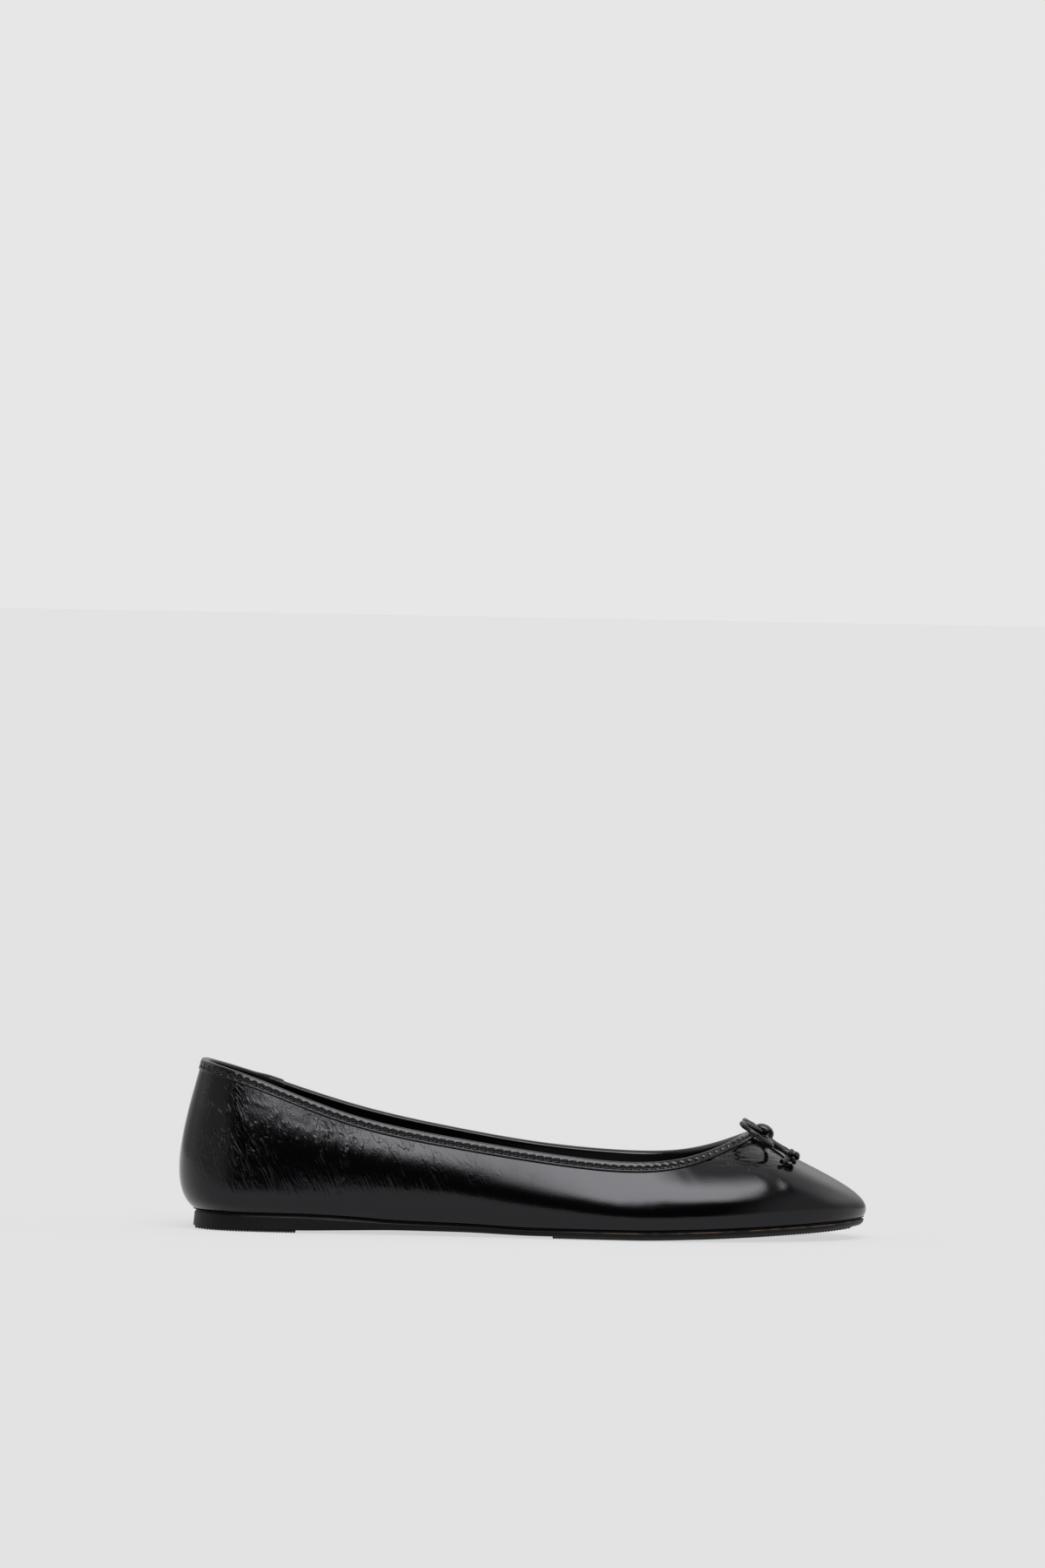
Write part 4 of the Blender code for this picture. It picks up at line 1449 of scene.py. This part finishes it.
@dataclass(frozen=True)
class Studio:
    """The camera at the photograph's angle, a plain pale floor and soft light from large panels."""

    distance: float = 6.0
    elevation: float = 2.0
    roll: float = 1.05
    view_height: float = 0.5672
    aim: tuple[float, float, float] = (-0.00275, -0.020, 0.1639)
    sensor: float = 36.0
    floor_size: float = 9.0
    floor_grey: float = 0.11
    floor_glow: float = 0.60
    dim: float = 0.004
    panel: float = 7.3
    ceiling: float = 0.75
    sides: float = 0.52
    pale: float = 0.80

    def add_camera(self) -> bpy.types.Object:
        """A long lens that looks across the shoe's lateral side, turned a little about its axis.

        Returns:
            The camera.
        """
        data = bpy.data.cameras.new("camera")
        data.sensor_width = self.sensor
        data.lens = self.sensor * self.distance / self.view_height
        data.clip_end = 50.0
        camera = bpy.data.objects.new("camera", data)
        bpy.context.scene.collection.objects.link(camera)
        tilt = math.radians(self.elevation)
        back = Vector((0.0, -math.cos(tilt), math.sin(tilt)))
        camera.matrix_world = (
            Matrix.Translation(Vector(self.aim) + back * self.distance)
            @ back.to_track_quat("Z", "Y").to_matrix().to_4x4()
            @ Matrix.Rotation(math.radians(self.roll), 4, "Z")
        )
        bpy.context.scene.camera = camera
        LOG.info("camera: %.0f mm lens at %.1f m", data.lens, self.distance)
        return camera

    def add_floor(self) -> bpy.types.Object:
        """A pale light table: a matt floor that also glows, so the shoe hardly darkens it.

        Returns:
            The floor.
        """
        material = bpy.data.materials.new("pale floor")
        material.use_nodes = True
        recipe = Recipe(material.node_tree)
        grey = (self.floor_grey, self.floor_grey, self.floor_grey)
        glow = {"Color": (1.0, 1.0, 1.0), "Strength": self.floor_glow}
        matt = recipe.add("ShaderNodeBsdfDiffuse", {}, {"Color": grey})
        lit = recipe.add("ShaderNodeEmission", {}, glow)
        both = recipe.add("ShaderNodeAddShader", {}, {0: matt, 1: lit})
        recipe.add("ShaderNodeOutputMaterial", {}, {"Surface": both})
        s = self.floor_size
        corners = np.array([(-s, -s, 0.0), (s, -s, 0.0), (s, s, 0.0), (-s, s, 0.0)])
        floor = Shape(corners, [(0, 1, 2, 3)], materials=[material]).piece("floor")
        return floor

    def add_light(self) -> bpy.types.World:
        """A dim room, bright by direction: a long panel, the ceiling, both ends and the wall behind.

        Its edges are shares of a unit direction: x to the toe, y away from the camera and z up.

        Returns:
            The world that lights the scene.
        """
        world = bpy.data.worlds.new("studio")
        bpy.context.scene.world = world
        world.use_nodes = True
        recipe = Recipe(world.node_tree)
        x, y, z = recipe.axes(recipe.add("ShaderNodeTexCoord", out="Generated"))
        aside = (x * x) ** 0.5
        near_edge = 0.37 + 0.06 * x.rises(-0.34, -0.20) + 0.18 * x.rises(-0.06, 0.20)
        panel = (z - near_edge).rises(-0.09, 0.09) * (1 - y.rises(-0.42, -0.04))
        panel = panel * x.rises(-0.42, -0.08) * (1 - x.rises(0.39, 0.50))
        overhead = y.rises(-0.35, 0.10) * z.rises(0.10, 0.55)
        ends = aside.rises(0.44, 0.72) * (1 - 0.6 * z.rises(0.5, 0.9)) * (0.86 + 0.14 * x.rises(-0.2, 0.2))
        ends = ends * (1 - 0.7 * y.rises(0.3, 0.8))
        wall = 0.08 * y.rises(-0.10, 0.25) + 0.32 * y.rises(0.55, 0.95)
        strength = self.dim + self.panel * panel + self.ceiling * overhead + self.sides * ends + wall
        room = recipe.add("ShaderNodeBackground", {}, {"Color": (1.0, 1.0, 1.0), "Strength": strength})
        seen = recipe.add(
            "ShaderNodeBackground", {}, {"Color": (self.pale, self.pale, self.pale), "Strength": 1.0}
        )
        camera_ray = recipe.add("ShaderNodeLightPath", out="Is Camera Ray")
        both = recipe.add("ShaderNodeMixShader", {}, {0: camera_ray, 1: room, 2: seen})
        recipe.add("ShaderNodeOutputWorld", {}, {"Surface": both})
        bpy.context.scene.view_settings.view_transform = "Standard"
        return world


@dataclass
class Bow:
    """The little cord bow at the throat: two loops, two knotted tails and the knot between them.

    It lies 1.2 mm nearer the topline than the part's own bow, and closer to the leather.
    """

    cord: float = 0.0018
    setback: float = 0.0063
    tail_forward: float = 0.0136
    tail_side: float = 0.0150
    medial_spread: float = 1.68
    loop_reach: float = 0.0200
    loop_breadth: float = 0.0135
    loop_lift: float = 0.0032
    medial_droop: float = 0.0012
    knot_length: float = 0.0078
    knot_width: float = 0.0062
    knot_height: float = 0.0058
    end_knot: float = 0.0054
    stub: float = 0.0040
    wraps: float = 2.2
    knot_strand: float = 0.0013
    route_step: float = 0.0005
    probe: float = 0.01
    above: float = 0.02

    def __post_init__(self) -> None:
        """Finds the bow's own directions on the vamp."""
        up = LAST.up_below_edge(np.array([float(TOE_RIB)]), self.setback)[0]
        self.foot = LAST.surface(TOE_RIB, up)
        self.off = LAST.normal(TOE_RIB, up)
        self.forward = unit(LAST.surface(TOE_RIB, up - self.probe) - LAST.surface(TOE_RIB, up + self.probe))
        self.side = np.cross(self.forward, self.off)
        count = LAST.solid_ribs
        rows = [LAST.surface(LAST.around(count), share) for share in np.linspace(0, 1, 61)]
        faces: Faces = []
        for k in range(len(rows) - 1):
            faces += band(k * count, (k + 1) * count, count)
        self.vamp = BVHTree.FromPolygons([Vector(p) for p in np.concatenate(rows)], faces)

    def point(self, forward: float, side: float, lift: float) -> Points:
        """A point by its distances from the knot's foot."""
        return self.foot + forward * self.forward + side * self.side + lift * self.off

    def loop_points(self, hand: Hand) -> list[Points]:
        """The loop's own points on one side. The medial loop droops a little to its tip.

        Args:
            hand: The side of the shoe.

        Returns:
            The points, from the knot out and back.
        """
        droop = self.medial_droop if hand is Hand.MEDIAL else 0.0
        return [
            self.point(
                p.forward * self.loop_breadth,
                p.side * self.loop_reach * hand.value,
                p.lift * self.loop_lift - p.side * droop,
            )
            for p in LOOP_ROUTE
        ]

    def tail_point(self, place: BowPoint, hand: Hand) -> Points:
        """A tail's point on one side, lifted off the leather right below it.

        Args:
            place: The point's place in the bow.
            hand: The side of the shoe.

        Returns:
            The point.
        """
        spread = 1.0 if hand is Hand.LATERAL else self.medial_spread
        side = place.side * self.tail_side * spread * hand.value
        high = self.point(place.forward * self.tail_forward, side, self.above)
        under, way, _, _ = self.vamp.ray_cast(Vector(high), Vector(-self.off))
        return np.array(under) + place.lift * self.cord * np.array(way)

    def route(self, hand: Hand) -> Points:
        """One cord's centreline: out along this side's loop, back through the knot, down the other tail.

        Args:
            hand: The side of the cord's loop.

        Returns:
            The centreline's points.
        """
        over = 0.3 * hand.value
        start = self.point(-0.0002, 0.0012 * hand.value, 0.0034)
        through = [
            self.point(0.0018, 0.0014 * hand.value, 0.0029 + 0.0006 * over),
            self.point(0.0026, -0.0004 * hand.value, 0.0027 + 0.0006 * over),
        ]
        tail = [self.tail_point(p, hand.other) for p in TAIL_ROUTE]
        centre = self.tail_point(END_KNOT_PLACE, hand.other)
        end = centre - unit(centre - tail[-1]) * (self.end_knot / 2 - 0.0006)
        points = [start, *self.loop_points(hand), *through, *tail, end]
        return smooth_route(points, self.route_step)

    def add_cord(self, hand: Hand) -> bpy.types.Object:
        """One of the bow's two cords, which runs into its end knot.

        Args:
            hand: The side of its loop. Its tail lies on the other side.

        Returns:
            The cord.
        """
        route = self.route(hand) - MIDDLE
        runs = np.linalg.norm(np.diff(route, axis=0), axis=1)
        length = float(runs.sum())
        share = np.concatenate([[0.0], np.cumsum(runs)]) / length
        sizes = 1.0 + 0.05 * np.sin(share * 61.0) + 0.03 * np.sin(share * 143.0 + 1.0)
        shape = tube(route, TubeSection(self.cord / 2), -self.off, sizes)
        shape.materials = [CORD.make()]
        cord = shape.piece("bow_cord_" + hand.word)
        hand_in(cord, Slot.CORD, "bow_loop_" + hand.word, "bow_tail_" + hand.other.word)
        LOG.info("%s: %.1f mm of cord", cord.name, 1000 * length)
        return cord

    def add_end_knot(self, hand: Hand) -> bpy.types.Object:
        """An overhand knot drawn tight, with the short stub of hollow cord beyond it.

        Args:
            hand: The side of the shoe.

        Returns:
            The knot, with its stub.
        """
        centre = self.tail_point(END_KNOT_PLACE, hand)
        axis = unit(
            STUB_WAY.forward * self.tail_forward * self.forward
            + STUB_WAY.side * self.tail_side * hand.value * self.side
            + STUB_WAY.lift * self.cord * self.off
        )
        first = unit(np.cross(axis, self.off))
        second = np.cross(axis, first)
        ring, coil = 0.25 * self.end_knot, 0.13 * self.end_knot
        turn = np.linspace(0.0, 2 * math.pi, 121)
        reach = (ring + coil * np.cos(3 * turn))[:, None]
        trefoil = (
            centre
            + reach * np.cos(2 * turn)[:, None] * first
            + reach * np.sin(2 * turn)[:, None] * second
            + 1.25 * coil * np.sin(3 * turn)[:, None] * axis
        )
        strand = TubeSection(0.42 * self.cord, 14)
        knot = tube(trefoil - MIDDLE, strand, axis, np.ones(len(trefoil)))
        places = np.linspace(0.0, 1.0, 13)[:, None]
        reach_out = self.end_knot / 2 + self.stub
        sag = 0.0005 * (places**2) * self.off
        stub_route = centre + places * reach_out * axis + sag
        flare = 0.92 + 0.12 * places[:, 0] ** 3
        stub = tube(stub_route - MIDDLE, TubeSection(self.cord / 2), self.off, flare, hollow_end=True)
        shape = joined([knot, stub])
        shape.materials = [CORD.make()]
        shape.sharp_degrees = 55.0
        piece = shape.piece("end_knot_" + hand.word)
        return hand_in(piece, Slot.CORD, "bow_end_knot_" + hand.word)

    def add_middle_knot(self) -> bpy.types.Object:
        """The knot in the bow's middle: cord wrapped over the crossing, round and round.

        Returns:
            The knot.
        """
        strand = self.knot_strand
        share = np.linspace(-1.0, 1.0, 140)
        turn = share * math.pi * self.wraps
        swing = share * (self.knot_width / 2 - strand)
        height = self.knot_height / 2
        centre = self.foot + (LAST.clearance + height) * self.off
        taper = 1 - 0.22 * share**2
        route = (
            centre
            + ((self.knot_length / 2 - strand) * taper * np.sin(turn))[:, None] * self.forward
            + ((height - strand) * taper * np.cos(turn))[:, None] * self.off
            + swing[:, None] * self.side
        )
        shape = tube(route - MIDDLE, TubeSection(strand, 16), self.side, np.ones(len(route)))
        shape.materials = [CORD.make()]
        return hand_in(shape.piece("bow_middle_knot"), Slot.CORD, "bow_knot")

    def build(self) -> list[bpy.types.Object]:
        """All of the bow's pieces, with both cords.

        Returns:
            The pieces.
        """
        pieces = [self.add_middle_knot()]
        for hand in Hand:
            end_knot = self.add_end_knot(hand.other)
            pieces += [end_knot, self.add_cord(hand)]
        return pieces


# The upper


@dataclass(frozen=True)
class Creases:
    """The folds of the leather, as heights off the last.

    The inner side's copies of a fold lie a little off the mirror image, by this share of a rib.
    """

    both_sides: tuple[Crease, ...] = THROAT_CREASES + QUARTER_CREASES + LONG_FOLDS
    middle: tuple[Crease, ...] = VAMP_CREASES
    mirror_shift: float = 0.07
    step: float = 0.05

    def height(self, around: Points, up: Points) -> Points:
        """How far the folds push each point of the leather out, in metres.

        Args:
            around: The place of each point around the shoe.
            up: The share of the way up of each.

        Returns:
            The heights.
        """
        total = np.zeros(np.broadcast(around, up).shape)
        for crease in self.both_sides:
            mirrored = len(RIBS) - crease.around - self.mirror_shift
            total += self._one(crease, around, up, crease.around, crease.lean)
            total += self._one(crease, around, up, mirrored, -crease.lean)
        for crease in self.middle:
            total += self._one(crease, around, up, crease.around, crease.lean)
        return total

    def _pace(self, around: float, up: float, way: tuple[float, float]) -> float:
        """How far apart, in millimetres, two places one unit apart along this way lie."""
        far = LAST.surface(np.array(around + self.step * way[0]), up + self.step * way[1])
        near = LAST.surface(np.array(around - self.step * way[0]), up - self.step * way[1])
        return 1000 * float(np.linalg.norm(far - near)) / (2 * self.step)

    def _one(self, crease: Crease, around: Points, up: Points, centre: float, lean: float) -> Points:
        """One fold's heights, with its middle and lean on this side of the shoe.

        Args:
            crease: The fold.
            around: The place around the shoe, in ribs.
            up: The share of the way up the last.
            centre: The place around the shoe of the fold's middle.
            lean: The fold's lean, in degrees.

        Returns:
            How far the leather is moved out at each point.
        """
        level = self._pace(centre, crease.up, (1, 0)) * (around - centre)
        high = self._pace(centre, crease.up, (0, 1)) * (up - crease.up)
        turn = math.radians(lean)
        along = high * math.cos(turn) + level * math.sin(turn)
        across = level * math.cos(turn) - high * math.sin(turn)
        share = along / crease.reach
        across = across + crease.bow * crease.reach * share**2
        near = (across / crease.width) ** 2
        ends = np.clip(1 - share**2, 0.0, 1.0) ** 2
        return -0.001 * crease.depth * (1 - 0.9 * near) * np.exp(-near / 1.4) * ends


@dataclass
class Upper:
    """The hollow leather upper, and what is sewn to its topline."""

    ribs: int = 800
    outer_rows: int = 80
    inner_rows: int = 22
    binding_width: float = 0.0043
    binding_leather: float = 0.00055
    binding_headroom: float = 0.0002
    skive: float = 0.0005
    edge_calm: float = 0.6
    bead: float = 0.0017
    stitch_depth: float = 0.0031
    pucker: float = 0.00060
    pucker_reach: float = 0.00105
    pucker_foot: float = 0.00030
    stitch_pitch: float = 0.0030
    stitch_length: float = 0.0024
    thread: float = 0.00042
    stitch_seed: int = 7
    overlap_along: float = 0.0378
    overlap_lift: float = 0.00035
    overlap_rise: float = 0.00040

    def crinkle_share(self, around: Points, up: Points) -> Points:
        """How crinkled the leather is at each point, from 0 to 1.

        Args:
            around: The place around the shoe, in ribs.
            up: The share of the way up the last.

        Returns:
            The share at each point.
        """
        side = np.minimum(around, len(RIBS) - around)
        quarter = smooth_step(side, 0.5, 1.3) * (1 - smooth_step(side, 2.5, 4.8))
        throat = smooth_step(side, 7.4, 8.2) * 0.35 * smooth_step(up, 0.45, 0.75)
        low = smooth_step(up, 0.18, 0.50)
        return np.clip(quarter * (0.25 + 0.75 * low) + throat + 0.05, 0.0, 1.0)

    def add_leather(self) -> bpy.types.Object:
        """The leather shell with its lining side, folds and crinkled quarters.

        Returns:
            The leather.
        """
        around = LAST.around(self.ribs)
        step_up = LAST.up_below_edge(around, self.binding_width + LAST.clearance)
        edge_up = LAST.up_below_edge(around, self.binding_leather + self.binding_headroom + LAST.clearance)
        shares = np.linspace(0, 1, self.outer_rows) ** 1.05
        folds = Creases()
        rings, crinkles = [], []
        for share in shares:
            up = step_up * share
            height = folds.height(around, up) * smooth_step(up, 0.02, 0.12)
            flatter = 1 - self.edge_calm * smooth_step(np.full_like(up, share), 0.97, 1.0)
            rings.append(LAST.offset(around, up, np.where(height > 0, height * flatter, height)))
            crinkles.append(self.crinkle_share(around, up))
        for up in (step_up, edge_up):
            rings.append(LAST.offset(around, up, -self.skive))
            crinkles.append(np.zeros_like(up))
        inner = np.linspace(1, 0, self.inner_rows)
        for share in inner:
            rings.append(LAST.offset(around, edge_up * share, -LAST.upper_wall))
            crinkles.append(np.zeros_like(around))
        shape = ring_sweep(rings)
        shape.marks["crinkle"] = np.concatenate(crinkles)
        shape.materials = [LEATHER.make(), LINING.make()]
        outer_bands = self.outer_rows + 1
        slots = np.zeros(len(shape.faces), int)
        slots[outer_bands * self.ribs :] = 1
        shape.face_slots = slots
        return hand_in(shape.piece("upper_leather"), Slot.LEATHER, "upper")

    def binding_profile(self) -> list[tuple[float, float]]:
        """The binding's section: the distance below the topline, and off the last, of each point.

        Returns:
            The section's points in order.
        """
        proud = self.binding_leather + LAST.clearance - self.skive
        lining_side = -LAST.upper_wall - LAST.clearance
        far_side = lining_side - self.binding_leather
        centre = (proud + far_side) / 2
        half = (proud - far_side) / 2
        outside = [
            (self.binding_width, proud - 0.00035),
            (self.binding_width - 0.00006, proud - 0.00010),
            (self.binding_width - 0.00025, proud + 0.00006),
            (self.binding_width - 0.00055, proud + 0.00010),
            (self.stitch_depth + 0.00040, proud + 0.00002),
            (self.stitch_depth + 0.00015, proud - 0.00018),
            (self.stitch_depth, proud - 0.00024),
            (self.stitch_depth - 0.00020, proud - 0.00018),
            (self.stitch_depth - 0.00038, proud - 0.00006),
            (self.stitch_depth - 0.00058, proud + 0.00003),
            (self.stitch_depth - 0.00080, proud + 0.00008),
            (self.stitch_depth - 0.00110, proud + 0.00011),
            (self.bead, proud + 0.00010),
        ]
        over = []
        for degrees in range(10, 180, 12):
            turn = math.radians(degrees)
            over.append((0.0010 * (1 - math.sin(turn) ** 0.9), centre + half * math.cos(turn)))
        inside = [
            (0.0020, far_side - 0.00004),
            (self.stitch_depth, far_side + 0.00012),
            (self.binding_width - 0.0004, far_side - 0.00002),
            (self.binding_width, far_side + 0.00010),
            (self.binding_width, lining_side),
            (self.binding_leather + self.binding_headroom, lining_side),
            (self.binding_leather + self.binding_headroom, LAST.clearance - self.skive),
            (self.binding_width, LAST.clearance - self.skive),
        ]
        return outside + over + inside

    def add_binding(self) -> bpy.types.Object:
        """The folded strip over the topline, drawn down at each stitch, with the overlap of its ends.

        Returns:
            The binding.
        """
        around = LAST.around(1920)
        rings = []
        top = LAST.surface(around, np.ones_like(around))
        runs = np.concatenate([[0.0], np.cumsum(np.linalg.norm(np.diff(top, axis=0), axis=1))])
        wave = np.cos(2 * math.pi * runs / self.stitch_pitch)
        hole = (1 - wave) / 2
        ease = smooth_step(np.abs(top[:, 0] - self.overlap_along), 0.0, 0.0011)
        lap = np.where((top[:, 1] > 0) & (top[:, 0] < self.overlap_along), 1.0, 0.0) * ease
        lap *= 1 - smooth_step(self.overlap_along - top[:, 0], 0.005, 0.012)
        over_edge = 0.0009
        for below, out in self.binding_profile():
            above = self.stitch_depth - below
            reach = self.pucker_reach if above > 0 else self.pucker_foot
            sewn = math.exp(-((above / reach) ** 2)) if out > 0 else 0.0
            edge = math.exp(-(((below - self.binding_width) / 0.0004) ** 2))
            push = 0.00003 * wave * edge - self.pucker * hole * sewn
            lift = self.overlap_lift * lap * (1 if out > 0 or below < over_edge else -0.4)
            up = LAST.up_below_edge(around, max(below, 0.0))
            ring = LAST.offset(around, up, out + push + lift)
            if below < over_edge:
                ring[:, 2] += self.overlap_rise * lap
            rings.append(ring)
        shape = ring_sweep(rings)
        shape.materials = [BINDING.make()]
        shape.sharp_degrees = 65.0
        return hand_in(shape.piece("binding_strip"), Slot.BINDING, "topline_binding")

    def add_stitches(self) -> bpy.types.Object:
        """The row of stitches that holds the binding, along the topline.

        Returns:
            The row of stitches.
        """
        around = LAST.around(1200)
        up = LAST.up_below_edge(around, self.stitch_depth)
        proud = self.binding_leather + LAST.clearance - self.skive
        points = LAST.offset(around, up, proud - 0.00016) - MIDDLE
        count = len(points)
        edges = [(i, (i + 1) % count) for i in range(count)]
        guide = guide_of("stitch line", points, edges, {"off": LAST.normal(around, up)})
        sizes = {
            "Material": THREAD.make(),
            "Pitch": self.stitch_pitch,
            "Stitch length": self.stitch_length,
            "Thread": self.thread,
            "Seed": self.stitch_seed,
        }
        stitches = stitch_tool().run(guide, "topline_stitches", sizes)
        return hand_in(stitches, Slot.BINDING)

    def build(self) -> list[bpy.types.Object]:
        """The leather, its binding and the stitches."""
        return [self.add_leather(), self.add_binding(), self.add_stitches()]


# The bottom


@dataclass
class Bottom:
    """The footbed, the moulded sole and the two toothed treads."""

    ribs: int = 420
    insole_thickness: float = 0.0030
    insole_gap: float = 0.0005
    heel_waist: float = 0.0017
    fore_round: float = 0.0013
    heel_tread_end: float = 0.0430
    forefoot_tread_start: float = 0.1360
    heel_inset: float = 0.0006
    forefoot_inset: float = 0.0040
    tooth_pitch: float = 0.00105
    tooth_width: float = 0.00092
    tooth_height: float = 0.00050
    tread_sink: float = 0.0001
    tread_strips: int = 60
    fill: tuple[float, ...] = (0.08, 0.2, 0.35, 0.5, 0.65, 0.8, 0.92)

    def add_footbed(self) -> bpy.types.Object:
        """The footbed, with a shallow cup under the heel and a turned edge.

        Returns:
            The footbed.
        """
        around = LAST.around(self.ribs)
        inward = -LAST.upper_wall - self.insole_gap
        top_up = LAST.up_at_rise(around, self.insole_thickness)
        rings = []
        for share, inset in ((1.0, 0.0007), (0.97, 0.00035), (0.88, 0.0001), (0.5, 0.0), (0.0, 0.0)):
            ring = LAST.offset(around, top_up * share, inward - inset)
            ring[:, 2] = LAST.sole_top(ring[:, 0]) + LAST.clearance + self.insole_thickness * share
            rings.append(ring)

        def top(points: Points) -> Points:
            """The upper face, a little hollow at the heel and under the ball.

            Args:
                points: The points, from their plan.

            Returns:
                The height at each point.
            """
            x, y = points[:, 0] / LAST.length, points[:, 1] / LAST.ball_width
            heel = np.exp(-(((x - 0.13) / 0.09) ** 2) - (y / 0.22) ** 2)
            ball = np.exp(-(((x - 0.66) / 0.10) ** 2) - (y / 0.30) ** 2)
            level = LAST.sole_top(points[:, 0]) + LAST.clearance + self.insole_thickness
            return level - 0.0005 * heel - 0.0004 * ball

        shape = slab(rings, lambda p: LAST.sole_top(p[:, 0]) + LAST.clearance, top, self.fill)
        shape.materials = [FOOTBED.make()]
        return hand_in(shape.piece("footbed"), Slot.FOOTBED, "insole")

    def add_sole(self) -> bpy.types.Object:
        """The moulded sole, with a groove all round under the upper and a lip at the forefoot, with a mark
        for the highlight line painted along it.

        Returns:
            The sole.
        """
        around = LAST.around(self.ribs)
        plan = LAST.outline(around)
        rise = LAST.heel_share(plan[:, 0])[:, None]
        way = LAST.outward(around)
        top = LAST.sole_top(plan[:, 0])
        height = top - LAST.sole_bottom(plan[:, 0])
        rings, painted_lip_highlight = [], []
        fore = smooth_step(plan[:, 0] / LAST.length, 0.52, 0.66)
        for step in SOLE_EDGE:
            inset = self.heel_waist * step.heel * rise + self.fore_round * step.fore * (1 - rise)
            ring = np.concatenate([plan, (top - height * step.drop)[:, None]], axis=1) - inset * way
            rings.append(ring)
            # The mark of the highlight painted on the lip: a paler line, high at the lip's drop
            painted_lip_highlight.append(fore * math.exp(-(((step.drop - 0.34) / 0.05) ** 2)))
        rings[0][:, 2] = LAST.sole_top(rings[0][:, 0])
        rings[-1][:, 2] = LAST.sole_bottom(rings[-1][:, 0])
        shape = slab(
            rings, lambda p: LAST.sole_bottom(p[:, 0]), lambda p: LAST.sole_top(p[:, 0]), self.fill
        )
        marks = np.zeros(len(shape.points))
        start = len(self.fill) * self.ribs
        marks[start : start + len(painted_lip_highlight) * self.ribs] = np.concatenate(painted_lip_highlight)
        shape.marks["painted_lip_highlight"] = marks
        shape.materials = [SOLE.make()]
        shape.sharp_degrees = 50.0
        return hand_in(shape.piece("moulded_sole"), Slot.SOLE, "outsole")

    def tread_sides(self, tip_rib: int, cut_x: float, inset: float, strips: int) -> list[Points]:
        """A tread's two edges in plan, from its tip to its straight cut.

        Args:
            tip_rib: The rib at its rounded tip.
            cut_x: How far along the shoe its straight end lies.
            inset: How far inside the sole's edge it stays.
            strips: How many steps each edge has.

        Returns:
            The lateral and the medial edge.
        """
        half = 0.12
        last_rib = len(RIBS)
        tips = (TOE_RIB - half, TOE_RIB + half) if tip_rib == TOE_RIB else (half, last_rib - half)
        sides = []
        for tip, far_rib in zip(tips, (0, last_rib)):
            places = np.linspace(tip, LAST.place_at(cut_x, far_rib), strips + 1)
            sides.append(LAST.outline(places) - inset * LAST.outward(places)[:, :2])
        return sides

    def add_tread(
        self, name: str, node: str, tip_rib: int, cut_x: float, inset: float
    ) -> list[bpy.types.Object]:
        """One tread: a thin pad, and the teeth across its underside.

        Args:
            name: The stem of its pieces' names.
            node: The node that they stand for.
            tip_rib: The rib at its rounded tip.
            cut_x: How far along the shoe its straight end lies.
            inset: How far inside the sole's edge it stays.

        Returns:
            The pad and its teeth.
        """
        strips, tooth = self.tread_strips, self.tooth_height
        sides = self.tread_sides(tip_rib, cut_x, inset, strips)
        levels = (tooth * 0.62, LAST.tread_thickness + self.tread_sink)
        points = []
        for level in levels:
            for plan in sides:
                points += [(x, y, LAST.tread_bottom(x) + level) for x, y in plan]
        row = strips + 1
        faces: Faces = []
        for i in range(strips):
            faces.append((i, i + 1, row + i + 1, row + i))
            faces.append((2 * row + i, 3 * row + i, 3 * row + i + 1, 2 * row + i + 1))
            faces.append((i, 2 * row + i, 2 * row + i + 1, i + 1))
            faces.append((row + i, row + i + 1, 3 * row + i + 1, 3 * row + i))
        for i in (0, strips):
            faces.append((i, row + i, 3 * row + i, 2 * row + i))
        pad = Shape(np.array(points) - MIDDLE, faces, materials=[TREAD.make()], sharp_degrees=30.0)
        lateral, medial = sides
        low, high = sorted((lateral[0, 0], cut_x))
        places = np.arange(low + 0.0006, high - 0.0003, self.tooth_pitch)
        order = np.argsort(lateral[:, 0])
        near = np.interp(places, lateral[order, 0], lateral[order, 1])
        order = np.argsort(medial[:, 0])
        far = np.interp(places, medial[order, 0], medial[order, 1])
        heights = LAST.tread_bottom(places) + tooth / 2
        slopes = -np.arctan(np.gradient(LAST.tread_bottom(places), places))
        centres = np.stack([places, (near + far) / 2, heights], axis=1) - MIDDLE
        marks = {"reach": np.abs(far - near), "slope": slopes}
        guide = guide_of(name + " teeth", centres, [], marks)
        sizes = {"Material": TREAD.make(), "Tooth width": self.tooth_width, "Tooth height": tooth}
        teeth = tooth_tool().run(guide, name + "_teeth", sizes)
        return [hand_in(pad.piece(name + "_pad"), Slot.TREAD, node), hand_in(teeth, Slot.TREAD, node)]

    def build(self) -> list[bpy.types.Object]:
        """The footbed, the sole and both treads.

        Returns:
            The pieces.
        """
        start = self.forefoot_tread_start
        return [
            self.add_footbed(),
            self.add_sole(),
            *self.add_tread("heel", "heel_tread", 0, self.heel_tread_end, self.heel_inset),
            *self.add_tread("forefoot", "forefoot_tread", TOE_RIB, start, self.forefoot_inset),
        ]


def main() -> None:
    """Builds the studio, the bow, the upper and the bottom, in that order."""
    logging.basicConfig(level=logging.INFO, format="%(message)s")
    studio = Studio()
    studio.add_camera()
    studio.add_floor()
    studio.add_light()
    Bow().build()
    Upper().build()
    Bottom().build()


if __name__ == "__main__":
    main()
